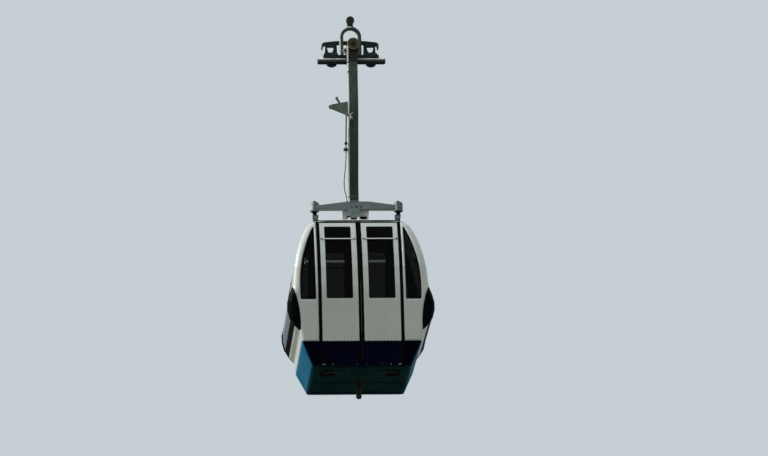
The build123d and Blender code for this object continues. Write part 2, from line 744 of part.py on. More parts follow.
# Hanger tube: swept down and under the rope
with BuildPart() as hanger_tube:
    with BuildLine(Plane.YZ.offset(HANGER_X)):
        FilletPolyline(
            (HANGER_Y, HEAD_FOOT_Z),
            (HANGER_Y, BEND_TOP_Z),
            (0, BEND_FOOT_Z),
            (0, level(BEAM_TOP)),
            radius=BEND_R,
        )
    with BuildSketch(Plane.XY.offset(HEAD_FOOT_Z)):
        with Locations((HANGER_X, HANGER_Y)):
            RectangleRounded(TUBE_X, TUBE_Y, TUBE_CORNER)
    sweep()
export(hanger_tube.part, "hanger_tube")

# Crossbeam: tapered box with a tab over the roof
damper_places = [BEAM_X + side * DAMPER_X for side in SIDES]
damper_middle = level(sum(DAMPER_Z) / 2)
damper_height = DAMPER_Z[1] - DAMPER_Z[0]
left_x, right_x = damper_places
tab_foot_half, tab_root_half = TAB_HALF_X
tab_root_z = level(BEAM_FOOT + BEAM_ROUND)
with BuildPart() as crossbeam:
    with BuildSketch(Plane.XZ.offset(-BEAM_WIDTH / 2)):
        with BuildLine():
            Polyline(
                (left_x, level(BEAM_FOOT)),
                (right_x, level(BEAM_FOOT)),
                (right_x, level(BEAM_END_TOP)),
                (BEAM_FLAT_X[1], level(BEAM_TOP)),
                (BEAM_FLAT_X[0], level(BEAM_TOP)),
                (left_x, level(BEAM_END_TOP)),
                close=True,
            )
        make_face()
    extrude(amount=BEAM_WIDTH)
    fillet(crossbeam.faces().filter_by(Axis.Y).edges(), BEAM_ROUND)
    with BuildSketch(Plane.XZ.offset(BEAM_WIDTH / 2 - TAB_DEPTH)):
        with BuildLine():
            Polyline(
                (TAB_X - tab_root_half, tab_root_z),
                (TAB_X + tab_root_half, tab_root_z),
                (TAB_X + tab_root_half, level(BEAM_FOOT)),
                (TAB_X + tab_foot_half, level(TAB_FOOT)),
                (TAB_X - tab_foot_half, level(TAB_FOOT)),
                (TAB_X - tab_root_half, level(BEAM_FOOT)),
                close=True,
            )
        make_face()
        with Locations((TAB_X, level(TAB_HOLE_Z))):
            Circle(TAB_HOLE_R, mode=Mode.SUBTRACT)
    extrude(amount=TAB_DEPTH)
    with Locations(*[(x, 0, damper_middle) for x in damper_places]):
        Cylinder(DAMPER_R + FIT, 2 * damper_height, mode=Mode.SUBTRACT)
export(crossbeam.part, "crossbeam")

# Dampers: steel cups, and the rubber with cap, stud and neck
with BuildPart() as damper_cups:
    with Locations(*[(x, 0, damper_middle) for x in damper_places]):
        Cylinder(DAMPER_R, damper_height)
    fillet(damper_cups.edges().filter_by(GeomType.CIRCLE), CUP_ROUND)
export(damper_cups.part, "damper_cups")
cap_top = level(DAMPER_Z[1] + CAP_HEIGHT)
with BuildPart() as damper_rubbers:
    for x in damper_places:
        with BuildSketch(Plane.XZ):
            with BuildLine():
                Polyline(
                    (x, level(DAMPER_Z[1])),
                    (x + CAP_R, level(DAMPER_Z[1])),
                    (x + CAP_R, cap_top - CAP_BEVEL[1]),
                    (x + CAP_R - CAP_BEVEL[0], cap_top),
                    (x + STUD_R, cap_top),
                    (x + STUD_R, cap_top + STUD_HEIGHT),
                    (x, cap_top + STUD_HEIGHT),
                    close=True,
                )
            make_face()
            with BuildLine():
                Polyline(
                    (x, level(DAMPER_Z[0])), (x + NECK_R + NECK_FLARE, level(DAMPER_Z[0])),
                    (x + NECK_R, level(DAMPER_Z[0] - NECK_FLARE_HEIGHT)), (x + NECK_R, level(NECK_FOOT)),
                    (x, level(NECK_FOOT)), close=True,
                )
            make_face()
        revolve(axis=Axis((x, 0, 0), (0, 0, 1)))
export(damper_rubbers.part, "damper_rubbers")

# Brackets that carry the roof from the dampers
roof_outer = body_solid(ROOF_SECTIONS)
with BuildPart() as damper_brackets:
    for side, x in zip(SIDES, damper_places):
        with BuildSketch(Plane.XZ.offset(-FOOT_DEPTH / 2)):
            with BuildLine():
                middle = x - side * FOOT_SHIFT
                inward = x - side * FOOT_INSET
                Polyline(
                    (middle - FOOT_WIDTH / 2, level(NECK_FOOT)), (middle + FOOT_WIDTH / 2, level(NECK_FOOT)),
                    (middle + FOOT_WIDTH / 2 - FOOT_TAPER, level(NECK_FOOT - FOOT_STEP)),
                    (inward + FOOT_SPREAD / 2, level(WALL_TOP + ROOF_SEAT)),
                    (inward - FOOT_SPREAD / 2, level(WALL_TOP + ROOF_SEAT)),
                    (middle - FOOT_WIDTH / 2 + FOOT_TAPER, level(NECK_FOOT - FOOT_STEP)), close=True,
                )
            make_face()
        extrude(amount=FOOT_DEPTH)
    add(roof_outer, mode=Mode.SUBTRACT)
export(damper_brackets.part, "damper_brackets")

# Roof: domed shell with the pins of the upper door arms
with BuildPart() as roof_shell:
    add(roof_outer)
    add(body_solid(ROOF_SECTIONS, WALL, ROOF_WALL), mode=Mode.SUBTRACT)
    with Locations(*[(side * ARM_AXIS_X, ARM_AXIS_Y, level(WALL_TOP + PIN_SINK)) for side in SIDES]):
        Cylinder(ARM_PIN_R, UPPER_PIN_LENGTH, align=(Align.CENTER, Align.CENTER, Align.MAX))
export(roof_shell.part, "roof_shell")

# Roof box behind the crossbeam's tab, with a row of cooling fins at its right
with BuildPart() as roof_box:
    with BuildSketch(Plane.XZ.offset(-BOX_Y[1])):
        with BuildLine():
            Polyline(
                (BOX_X[0], level(BOX_FOOT)),
                (BOX_X[1], level(BOX_FOOT)),
                (BOX_X[1] + BOX_LEAN, level(BOX_TOP)),
                (BOX_X[0], level(BOX_TOP)),
                close=True,
            )
        make_face()
    extrude(amount=BOX_Y[1] - BOX_Y[0])
    for fin in range(BOX_FINS):
        groove_x = BOX_X[1] - BOX_FIN_INSET + (fin - BOX_FINS / 2) * BOX_FIN_PITCH
        with Locations((groove_x, BOX_Y[0] + BOX_FIN_DEPTH / 2, level(BOX_TOP))):
            Box(BOX_FIN_GROOVE, BOX_FIN_DEPTH, 2 * (BOX_TOP - BOX_FOOT), mode=Mode.SUBTRACT)
    add(roof_outer, mode=Mode.SUBTRACT)
export(roof_box.part, "roof_box")

# Gasket behind the upper door arms
gasket_half = DOOR_EDGE - GASKET_END_GAP
with BuildPart() as roof_gasket:
    add(box_tool((-gasket_half, gasket_half), GASKET_Y, (level(LEAF_TOP), level(WALL_TOP))))
export(roof_gasket.part, "roof_gasket")

# Arch frames: white quarter panels, arch and end panel of each end, in one piece
pane_opening = bay_opening(SEAL_FOOT)
for name, side in (("left", -1), ("right", 1)):
    beyond_door = box_tool(
        tuple(sorted((side * DOOR_EDGE, side * REACH))), (-REACH, REACH), (level(SKIRT_TOP), level(WALL_TOP))
    )
    with BuildPart() as arch_frame:
        add(wall_shell.part)
        add(beyond_door, mode=Mode.INTERSECT)
        add(front_tool(quarter_sketch(side), -REACH, REACH), mode=Mode.SUBTRACT)
        add(pane_opening, mode=Mode.SUBTRACT)
        add(corner_tool(side), mode=Mode.SUBTRACT)
    export(arch_frame.part, f"{name}_arch_frame")

# Curved end panes, black cheeks and the seals under the panes
pane_tool = bay_opening(PANE_FOOT, FIT)
seal_half = BAY_OUTLINE[0][0] - BAY_SIDE
seal_tool = box_tool((-REACH, REACH), (-seal_half, seal_half), (level(SEAL_FOOT), level(PANE_FOOT)))
for name, side in (("left", -1), ("right", 1)):
    end_half = box_tool(
        tuple(sorted((side * LEAF_OUTER, side * REACH))), (-REACH, REACH), (level(WAIST), level(WALL_TOP))
    )
    with BuildPart() as end_pane:
        add(glass_shell.part)
        add(end_half, mode=Mode.INTERSECT)
        add(pane_tool, mode=Mode.INTERSECT)
    export(end_pane.part, f"{name}_end_pane")
with BuildPart() as end_cheeks:
    add(wall_shell.part)
    add([corner_tool(side) for side in SIDES], mode=Mode.INTERSECT)
export(end_cheeks.part, "end_cheeks")
with BuildPart() as end_seals:
    add(wall_shell.part)
    add(seal_tool, mode=Mode.INTERSECT)
    add(
        box_tool((-DOOR_EDGE, DOOR_EDGE), (-REACH, REACH), (level(SKIRT_TOP), level(WALL_TOP))),
        mode=Mode.SUBTRACT,
    )
export(end_seals.part, "end_seals")

# Far side panel with two windows
with BuildPart() as far_side_panel:
    add(wall_shell.part)
    add(
        box_tool((-DOOR_EDGE, DOOR_EDGE), (0, REACH), (level(SKIRT_TOP), level(WALL_TOP))),
        mode=Mode.INTERSECT,
    )
    for side in SIDES:
        add(front_tool(window_sketch(side), 0, REACH), mode=Mode.SUBTRACT)
export(far_side_panel.part, "far_side_panel")

# Side glass: the far windows and the four quarter windows
with BuildPart() as side_glass:
    add(glass_shell.part)
    add(
        [front_tool(window_sketch(side, FIT), 0, REACH) for side in SIDES]
        + [front_tool(quarter_sketch(side, FIT), -REACH, REACH) for side in SIDES],
        mode=Mode.INTERSECT,
    )
export(side_glass.part, "side_glass")

# Lower end panels and side skirts, split at the start of each rounded corner


def end_zone(side):
    """Solid past the door that holds one end of the skirt, with its corners up to the split."""
    low, high = (half_width - CORNER_SPLIT * corner for _, _, half_width, corner in SKIRT_SECTIONS)
    with BuildPart() as zone:
        with BuildSketch(Plane.YZ.offset(side * DOOR_EDGE)):
            with BuildLine():
                Polyline(
                    (-low, level(0)),
                    (low, level(0)),
                    (high, level(SKIRT_TOP)),
                    (-high, level(SKIRT_TOP)),
                    close=True,
                )
            make_face()
        extrude(amount=side * (REACH - DOOR_EDGE))
    return zone.part


for name, side in (("left", -1), ("right", 1)):
    with BuildPart() as lower_end:
        add(skirt_shell.part)
        add(end_zone(side), mode=Mode.INTERSECT)
    export(lower_end.part, f"{name}_lower_end")
with BuildPart() as side_skirts:
    add(skirt_shell.part)
    add([end_zone(side) for side in SIDES], mode=Mode.SUBTRACT)
    add(box_tool((-DOOR_EDGE, DOOR_EDGE), (-REACH, 0), (level(0), level(SKIRT_TOP))), mode=Mode.SUBTRACT)
export(side_skirts.part, "side_skirts")

# Floor pan with keel, pads and the pins of the lower door arms
with BuildPart() as floor_pan:
    add(body_solid(SKIRT_SECTIONS, WALL + FIT))
    add(box_tool((-REACH, REACH), (-REACH, REACH), (level(0), level(FLOOR_TOP))), mode=Mode.INTERSECT)
    sill_y = -(SKIRT_SECTIONS[0][2] - WALL - MOVE_GAP)
    add(
        box_tool((-DOOR_EDGE, DOOR_EDGE), (-REACH, sill_y), (level(-FLOOR_TOP), level(2 * FLOOR_TOP))),
        mode=Mode.SUBTRACT,
    )
    keel_end = -(GUIDE_FLANGE_R + FIT)
    with Locations((0, (sill_y + keel_end) / 2, level(-KEEL_DEPTH / 2))):
        Box(KEEL_WIDTH, keel_end - sill_y, KEEL_DEPTH)
    for side in SIDES:
        with Locations((side * sum(PAD_X) / 2, sum(PAD_Y) / 2, level(-PAD_DEPTH / 2))):
            Box(PAD_X[1] - PAD_X[0], PAD_Y[1] - PAD_Y[0], PAD_DEPTH)
        arm_top = LOWER_ARM_Z + ARM_THICKNESS
        with Locations((side * ARM_AXIS_X, ARM_AXIS_Y, level((arm_top + ARM_CLEARANCE) / 2))):
            Cylinder(ARM_POST_R, -arm_top - ARM_CLEARANCE)
        with Locations((side * ARM_AXIS_X, ARM_AXIS_Y, level(LOWER_ARM_Z / 2))):
            Cylinder(ARM_PIN_R, -LOWER_ARM_Z)
export(floor_pan.part, "floor_pan")

# Guide pin under the floor
with BuildPart() as guide_pin:
    with BuildSketch(Plane.XZ):
        with BuildLine():
            Polyline(
                (0, level(-FIT)), (GUIDE_FLANGE_R, level(-FIT)), (GUIDE_FLANGE_R, level(-GUIDE_FLANGE[0])),
                (GUIDE_R, level(-GUIDE_FLANGE[1])), (GUIDE_TIP_R, level(GUIDE_TIP + GUIDE_BEVEL)),
                (GUIDE_TIP_R - GUIDE_BEVEL, level(GUIDE_TIP)), (0, level(GUIDE_TIP)), close=True,
            )
        make_face()
    revolve(axis=Axis.Z)
export(guide_pin.part, "guide_pin")

# Benches at both ends
for name, side in (("left", -1), ("right", 1)):
    with BuildPart() as bench:
        with BuildSketch(Plane.XZ.offset(-BENCH_HALF_Y)) as bench_outline:
            with BuildLine():
                Polyline(*[(side * x, level(z)) for x, z in BENCH_OUTLINE], close=True)
            make_face()
            fillet(bench_outline.vertices().group_by(Axis.Y)[1:], BENCH_ROUND)
        extrude(amount=2 * BENCH_HALF_Y)
    export(bench.part, f"{name}_bench")

# Doors: leaf with its foot and pins, window, bar, seals and swing arms
for name, side in (("left", -1), ("right", 1)):
    leaf_middle = side * (ARM_AXIS_X - ARM_LENGTH)
    leaf_bottom_y = -(SKIRT_SECTIONS[0][2] - WALL / 2)
    with BuildPart() as door_frame:
        add(wall_shell.part)
        add(skirt_shell.part)
        add(
            box_tool(
                tuple(sorted((side * LEAF_INNER, side * LEAF_OUTER))), (-REACH, 0),
                (level(LEAF_FOOT), level(LEAF_TOP)),
            ),
            mode=Mode.INTERSECT,
        )
        add(front_tool(window_sketch(side), -REACH, 0), mode=Mode.SUBTRACT)
        with Locations((leaf_middle, ARM_AXIS_Y, level(LEAF_TOP - PIN_SINK))):
            Cylinder(ARM_PIN_R, UPPER_PIN_LENGTH, align=(Align.CENTER, Align.CENTER, Align.MIN))
        bracket_low, bracket_high = LEAF_BRACKET_Z
        bracket_height = bracket_high - bracket_low
        bracket_middle_y = (ARM_AXIS_Y + leaf_bottom_y) / 2
        with Locations((leaf_middle, bracket_middle_y, level(bracket_low + bracket_height / 2))):
            Box(LEAF_BRACKET_WIDTH, ARM_AXIS_Y - leaf_bottom_y, bracket_height)
        root_z = LEAF_FOOT + LEAF_BRACKET_SINK
        with Locations((leaf_middle, leaf_bottom_y, level((bracket_low + root_z) / 2))):
            Box(LEAF_BRACKET_WIDTH, LEAF_BRACKET_WALL, root_z - bracket_low)
        with Locations((leaf_middle, ARM_AXIS_Y, level(bracket_low))):
            Cylinder(LEAF_BRACKET_WIDTH / 2, bracket_height, align=(Align.CENTER, Align.CENTER, Align.MIN))
        with Locations((leaf_middle, ARM_AXIS_Y, level((bracket_low + LOWER_ARM_Z) / 2))):
            Cylinder(ARM_PIN_R, bracket_low - LOWER_ARM_Z)
    export(door_frame.part, f"{name}_door_frame")
    with BuildPart() as door_glass:
        add(glass_shell.part)
        add(front_tool(window_sketch(side, FIT), -REACH, 0), mode=Mode.INTERSECT)
    export(door_glass.part, f"{name}_door_glass")
    with BuildPart() as door_seals:
        add(seal_shell.part)
        strips = [
            tuple(sorted((side * a, side * b)))
            for a, b in ((LEAF_SEAL_INNER, LEAF_INNER), (LEAF_OUTER, LEAF_SEAL_OUTER))
        ]
        leaf_z = (level(LEAF_FOOT), level(LEAF_TOP))
        add([box_tool(strip, (-REACH, 0), leaf_z) for strip in strips], mode=Mode.INTERSECT)
    export(door_seals.part, f"{name}_door_seals")
    with BuildPart() as window_bar:
        add(body_solid(UPPER_SECTIONS, -BAR_DEPTH / 2))
        add(body_solid(UPPER_SECTIONS, -FIT), mode=Mode.SUBTRACT)
        add(
            box_tool(
                tuple(sorted((side * BAR_X[0], side * BAR_X[1]))), (-REACH, 0),
                (level(BAR_Z - BAR_HEIGHT / 2), level(BAR_Z + BAR_HEIGHT / 2)),
            ),
            mode=Mode.INTERSECT,
        )
    export(window_bar.part, f"{name}_window_bar")
    with BuildPart() as door_arms:
        for arm_z in (UPPER_ARM_Z, LOWER_ARM_Z):
            with BuildSketch(Plane.XY.offset(level(arm_z))):
                with Locations((side * (ARM_AXIS_X - ARM_LENGTH / 2), ARM_AXIS_Y)):
                    SlotCenterToCenter(ARM_LENGTH, ARM_WIDTH)
                with Locations((side * ARM_AXIS_X, ARM_AXIS_Y), (leaf_middle, ARM_AXIS_Y)):
                    Circle(ARM_PIN_R + ARM_CLEARANCE, mode=Mode.SUBTRACT)
            extrude(amount=ARM_THICKNESS)
    export(door_arms.part, f"{name}_door_arms")

# Door control on the hanger: lever plate with roller, rods, clamp and cable
with BuildPart() as door_lever:
    with BuildSketch(Plane.XZ.offset(-LEVER_PLATE_Y)):
        with BuildLine():
            Polyline(*LEVER_PLATE, close=True)
        make_face()
    extrude(amount=LEVER_PLATE_DEPTH)
    plate_front = LEVER_PLATE_Y - LEVER_PLATE_DEPTH
    with BuildSketch(Plane.XZ.offset(-CONTROL_PIVOT_END)):
        with Locations(CONTROL_PIVOT):
            Circle(CONTROL_PIVOT_R)
    extrude(amount=CONTROL_PIVOT_END - plate_front + PIVOT_HEAD)
    with BuildSketch(Plane.XZ.offset(-plate_front)):
        with Locations(CONTROL_ROLLER):
            Circle(CONTROL_ROLLER_R)
    extrude(amount=CONTROL_ROLLER_WIDTH)
    add(hanger_tube.part, mode=Mode.SUBTRACT)
export(door_lever.part, "door_lever")
rod_shifts = [Vector(0, hand * ROD_SPACING / 2, 0) for hand in SIDES]
rod_runs = [(Vector(*ROD_TOP) + shift, Vector(*ROD_FOOT) + shift) for shift in rod_shifts]
stay_middle = Vector(ROD_FOOT[0], sum(STAY_Y) / 2, sum(STAY_Z) / 2)
rod_runs.append((Vector(*ROD_FOOT), stay_middle))
with BuildPart() as control_rods:
    for top, foot in rod_runs:
        with BuildSketch(Plane(origin=top, z_dir=foot - top)):
            Circle(ROD_R)
        extrude(amount=(foot - top).length)
    with BuildSketch(Plane.XZ.offset(-LEVER_PLATE_Y)):
        with Locations((ROD_TOP[0], ROD_TOP[2])):
            Circle(ROD_PIN_R)
    extrude(amount=LEVER_PLATE_Y - ROD_TOP[1] - ROD_SPACING / 2 - ROD_R)
    with Locations(ROD_FOOT):
        Box(*YOKE_SIZE)
    add(box_tool(STAY_X, STAY_Y, STAY_Z))
    add(hanger_tube.part, mode=Mode.SUBTRACT)
export(control_rods.part, "control_rods")

# The cable's arcs are as large as its runs allow
points = [Vector(*point) for point in CABLE_POINTS]
runs = [(b - a).length for a, b in zip(points, points[1:])]
turns = [math.radians((b - a).get_angle(c - b)) for a, b, c in zip(points, points[1:], points[2:])]
radii = [0.45 * min(pair) / math.tan(turn / 2) for pair, turn in zip(zip(runs, runs[1:]), turns)]
print("cable arc radii:", [round(radius) for radius in radii])
with BuildPart() as control_cable:
    with BuildLine() as cable_path:
        FilletPolyline(*points, radius=radii)
    with BuildSketch(Plane(origin=cable_path.line @ 0, z_dir=cable_path.line % 0)):
        Circle(CABLE_R)
    sweep()
export(control_cable.part, "control_cable")
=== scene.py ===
"""Finishes and small fittings of a gondola cabin with its hanger and rope grip, and the stage it hangs on."""

import math

import bmesh
import bpy
from bpy.props import FloatProperty, FloatVectorProperty, PointerProperty
from mathutils import Matrix, Vector
from mathutils.bvhtree import BVHTree


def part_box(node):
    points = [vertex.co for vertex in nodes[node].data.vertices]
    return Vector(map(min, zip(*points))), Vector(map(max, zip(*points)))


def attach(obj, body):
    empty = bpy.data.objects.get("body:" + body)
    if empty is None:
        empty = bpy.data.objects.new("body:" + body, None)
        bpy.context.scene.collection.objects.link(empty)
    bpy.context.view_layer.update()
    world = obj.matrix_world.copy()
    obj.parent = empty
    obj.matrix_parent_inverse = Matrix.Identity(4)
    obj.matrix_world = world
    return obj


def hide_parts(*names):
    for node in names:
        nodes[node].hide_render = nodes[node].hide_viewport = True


bl_info = {
    "name": "Gondola Cabin Fit-out",
    "version": (1, 0, 0),
    "blender": (4, 5, 0),
    "location": "View3D > Sidebar > Gondola",
    "description": "Paints, glazes and fits out a gondola cabin with its hanger and rope grip",
    "category": "Object",
}

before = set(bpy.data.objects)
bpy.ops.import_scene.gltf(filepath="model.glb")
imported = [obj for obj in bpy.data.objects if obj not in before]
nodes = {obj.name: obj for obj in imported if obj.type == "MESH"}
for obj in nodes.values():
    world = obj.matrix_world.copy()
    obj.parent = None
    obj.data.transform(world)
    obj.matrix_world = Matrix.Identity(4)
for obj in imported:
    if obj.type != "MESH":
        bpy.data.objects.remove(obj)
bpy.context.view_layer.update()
finishes = {}
skins = {}

# Directions, and the cabin's two ends with their hand along the rope
NEAR = (0, -1, 0)
FAR = (0, 1, 0)
ABOVE = (0, 0, 1)
BELOW = (0, 0, -1)
SIDES = (("left", -1), ("right", 1))

# Picture, camera and stage
PHOTO_WIDTH = 768
PHOTO_HEIGHT = 456
SENSOR_WIDTH = 36.0
CAMERA_REACH = 500.0
FLOOR_BELOW_CAMERA = 0.15
FLOOR_RADIUS = 16.0
KEY_SPREAD = math.radians(20.0)

# Cabin: its underside, the door band's upper edge, and how far outside it a look at its skin starts
CABIN_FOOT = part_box("floor_pan")[1].z - 0.060
NAVY_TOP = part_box("side_skirts")[1].z
BEYOND_END = 1.3
ROOF_CORNER = 0.095
LIP_RADIUS = 0.013
PANES = {
    "side_glass": "cabin", "left_end_pane": "cabin", "right_end_pane": "cabin",
    "left_door_glass": "left_door", "right_door_glass": "right_door",
}
PANE_AREA = 0.05
VENT_SLIT = (1.954, 1.986)

# Window bars and door leaves
BAR_STAND = 0.007
BAR_DEPTH = 0.012
BAR_ROUND = 0.004
BAR_OVERRUN = 0.040
ARM_POST_X = 0.505
LEAF_PIVOT_X = 0.225
ARM_AXIS_Y = -0.604
ARM_NUT = 0.024

# Interior: (x, height) along a bench's section, and the grab rail on the bench's back
BENCH_SECTION = (
    (0.402, 0.461), (0.560, 0.452), (0.722, 0.442), (0.748, 0.478), (0.806, 0.760), (0.856, 1.040),
)
RAIL_X = 0.800
RAIL_HEIGHT = 1.300
RAIL_HALF_Y = 0.60
BACK_X = 0.884
BACK_TOP = 1.047

# Roof box: heights of the ribbed part's foot and of the top of the black strip that is painted shadow across
# its foot
RIBS_FOOT = 2.300
SHADOW_TOP = 2.448

# Hanger: its tube's corner, where the tube's upper run lies behind its near face, welds, head and link
TUBE_CORNER = 0.031
UPPER_RUN_Y = 0.052
WELD_RADIUS = 0.006
HEAD_DEPTH = 0.110
EYE_LINK = (((0.006, -0.030), (0.026, -0.110), 0.034), ((0.024, -0.100), (0.032, -0.190), 0.022))

# Door control
CONTROL_X = -0.118
CONTROL_Y = -0.472
CABLE_RADIUS = 0.0062
GLAND_PLACE = (-0.106, -0.014)

# Grip: axes of the jaws' shaft and of the springs, and the face of its spine
SHAFT_Y = 0.095
SHAFT_Z = 0.045
SPRING_Y = 0.118
SPRING_Z = 0.132
SPINE_Y = -0.0425

# Softened edges of finishes, and the wave of the door band's edge
SOFT_EDGE = 0.018
PAN_EDGE = 0.06
BOW_EDGE = 0.045
SCALLOP = 0.047
SCALLOP_DEPTH = 0.006

# Where painted light and shade go: the side facing the key light, the lit top and shaded underside of the jaw
# noses, the lever's lit rim, the x left of which the hanger is painted lit, and the heights over which
# painted shade darkens the tube
KEY_LIGHT_SIDE = (-0.85, -0.1, 0.5)
LIT_UPPER_SIDE = (0.0, -0.4, 0.9)
SHADED_UNDER_SIDE = (0.0, -0.4, -0.9)
ARCH_RIM_HIGHLIGHT = (0.412, 0.140, (-0.8, 0.6))
TUBE_HIGHLIGHT_X = -0.071
HEAD_HIGHLIGHT_X = -0.068
TUBE_SHADE_HEIGHTS = (-2.2, -0.9)

# Colours of wear, of painted shade, and of the painted highlight on top of the jaw noses
DIRT_TONE = (0.66, 0.68, 0.60)
RUST = (0.075, 0.045, 0.026)
PAINTED_SHADE = (0.030, 0.034, 0.022)
STAIN = (0.10, 0.07, 0.04)
PAINTED_TOP_HIGHLIGHT = (0.86, 0.88, 0.85)
PANE_DUST = (0.003, 0.0027, 0.0024)


def colour_value(label, text, value):
    """Colour property."""
    return FloatVectorProperty(
        name=label, description=text, subtype="COLOR", size=3, min=0.0, max=1.0, default=value,
    )


def share_value(label, text, value):
    """Property from none to all."""
    return FloatProperty(name=label, description=text, subtype="FACTOR", min=0.0, max=1.0, default=value)


def angle_value(label, text, degrees):
    """Angle property with its default in degrees."""
    return FloatProperty(name=label, description=text, unit="ROTATION", default=math.radians(degrees))


def length_value(label, text, value, least=0.0):
    """Length property in metres."""
    return FloatProperty(name=label, description=text, unit="LENGTH", min=least, default=value)


class GondolaPaint(bpy.types.PropertyGroup):
    """Colours of the cabin's painted and moulded panels."""

    shell: colour_value("Shell", "Gelcoat of the arches, doors and roof", (0.69, 0.73, 0.69))
    navy: colour_value("Foot band", "Paint of the doors' foot band and the skirts", (0.0008, 0.001, 0.014))
    teal: colour_value("Lower ends", "Paint of the lower end panels", (0.008, 0.165, 0.315))
    floor: colour_value("Floor pan", "Coating of the underside", (0.001, 0.040, 0.048))
    cheek: colour_value("Corner cheeks", "Moulding of the bulged corners", (0.0015, 0.0018, 0.003))
    bar: colour_value("Window bars", "Paint of the bars across the windows", (0.78, 0.80, 0.78))
    dirt: share_value("Dirt", "How much dust and rain streaks tone the panels", 0.35)


class GondolaMetal(bpy.types.PropertyGroup):
    """Colours of the steel above the cabin."""

    hanger: colour_value("Hanger", "Paint of the hanger", (0.085, 0.120, 0.118))
    head: colour_value("Hanger head", "Greased casting of the hanger's head", (0.040, 0.030, 0.020))
    # Painted highlight: the colour the steel takes on the side that faces the key light.
    painted_light: colour_value("Faded side", "Bleached paint on the steel's weather side", (0.72, 0.74, 0.71))
    beam: colour_value("Crossbeam", "Paint of the crossbeam", (0.20, 0.245, 0.255))
    arch: colour_value("Lever", "Paint of the opening lever", (0.055, 0.075, 0.070))
    grip: colour_value("Grip", "Greased casting of the grip", (0.014, 0.026, 0.024))
    plate: colour_value("Control plate", "Paint of the door control's plate", (0.15, 0.19, 0.16))
    sleeve: colour_value("Jaw noses", "Bare casting of the fixed jaw's noses", (0.13, 0.14, 0.12))
    cup: colour_value("Damper cups", "Paint of the damper cups", (0.175, 0.20, 0.205))
    box: colour_value("Roof box", "Moulding of the roof box", (0.86, 0.82, 0.81))
    tyre: colour_value("Wheel rings", "Cast rings of the running wheels", (0.21, 0.185, 0.105))


class GondolaGlass(bpy.types.PropertyGroup):
    """Tint of the panes and of the rubber round them."""

    tint: colour_value("Tint", "Colour of the panes", (0.0006, 0.0006, 0.0006))
    density: share_value("Density", "Share of the light that a whole pane holds back", 0.91)
    rubber: colour_value("Rubber", "Colour of the seals", (0.0025, 0.003, 0.003))
    bead: length_value("Bead", "Radius of the rubber bead round each pane", 0.006, 0.001)


class GondolaCamera(bpy.types.PropertyGroup):
    """Where the camera stands, seen from the cabin."""

    distance: length_value("Distance", "From the aimed point to the camera", 62.76, 1.0)
    azimuth: angle_value("Azimuth", "Turn of the view from the door side", 3.84)
    elevation: angle_value("Elevation", "Climb of the view towards the cabin", 15.5)
    roll: angle_value("Roll", "Tilt of the picture", -1.31)
    focal: FloatProperty(
        name="Focal length", description="Focal length in pixels of the picture", min=100.0, default=4393.0,
    )
    height: length_value("Aimed height", "Height of the aimed point above the cabin's underside", 1.1)
    mark: FloatVectorProperty(
        name="Mark", description="Pixel at which the aimed point shows", size=2, default=(356.8, 306.0),
    )


class GondolaLight(bpy.types.PropertyGroup):
    """Light of the stage."""

    sun: FloatProperty(name="Key", description="Strength of the key light", min=0.0, default=2.5)
    sun_from: FloatVectorProperty(
        name="Key from", description="Direction to the key light", subtype="DIRECTION", size=3,
        default=(-0.76, 0.02, 0.63),
    )
    above: colour_value("Above", "Soft light from above", (0.56, 0.60, 0.62))
    level: colour_value("Level", "Soft light from the sides", (0.35, 0.37, 0.345))
    below: colour_value("Below", "Soft light from below", (0.060, 0.066, 0.020))
    backdrop: colour_value("Backdrop", "Colour behind the object", (0.56, 0.62, 0.66))


# Places


def up(height):
    """Row height of a height above the cabin's underside."""
    return CABIN_FOOT + height


def facing(place, axis, turn=0.0):
    """Matrix that puts a shape's own Z along axis at place."""
    rotation = Vector(axis).normalized().to_track_quat("Z", "Y").to_matrix().to_4x4()
    return Matrix.Translation(Vector(place)) @ rotation @ Matrix.Rotation(turn, 4, "Z")


def steps_between(first, last, count):
    """Evenly spread values, ends included."""
    return [first + (last - first) * step / (count - 1) for step in range(count)]


def circle_points(count, radius, first=0.0):
    """(x, y) points spread round a circle, the first of them turned by a share of a step."""
    angles = [2 * math.pi * (step + first) / count for step in range(count)]
    return [(radius * math.cos(angle), radius * math.sin(angle)) for angle in angles]


def rounded_loop(middle, half_x, half_y, corner, steps=6):
    """Points of a level rounded rectangle round a middle point."""
    points = []
    for turn, (hand_x, hand_y) in enumerate(((1, 1), (-1, 1), (-1, -1), (1, -1))):
        for step in range(steps + 1):
            angle = math.pi / 2 * (turn + step / steps)
            points.append(Vector((
                middle[0] + hand_x * (half_x - corner) + corner * math.cos(angle),
                middle[1] + hand_y * (half_y - corner) + corner * math.sin(angle),
                middle[2],
            )))
    return points


def faces_of(node):
    """(y, outward direction) of a node's door side and of its far side."""
    low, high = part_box(node)
    return (low.y, NEAR), (high.y, FAR)


def on_skin(node, origin, direction):
    """(place, normal) where a line from origin meets a CAD node's skin."""
    if node not in skins:
        mesh = nodes[node].data
        points = [vertex.co.copy() for vertex in mesh.vertices]
        skins[node] = BVHTree.FromPolygons(points, [list(face.vertices) for face in mesh.polygons])
    place, normal, _, _ = skins[node].ray_cast(Vector(origin), Vector(direction).normalized())
    if place is None:
        raise RuntimeError(f"no skin of {node} along {direction} from {origin}")
    return place, normal


def welded(node):
    """Bmesh of a CAD node whose faces share their corners."""
    shape = bmesh.new()
    shape.from_mesh(nodes[node].data)
    bmesh.ops.remove_doubles(shape, verts=shape.verts, dist=1e-5)
    return shape


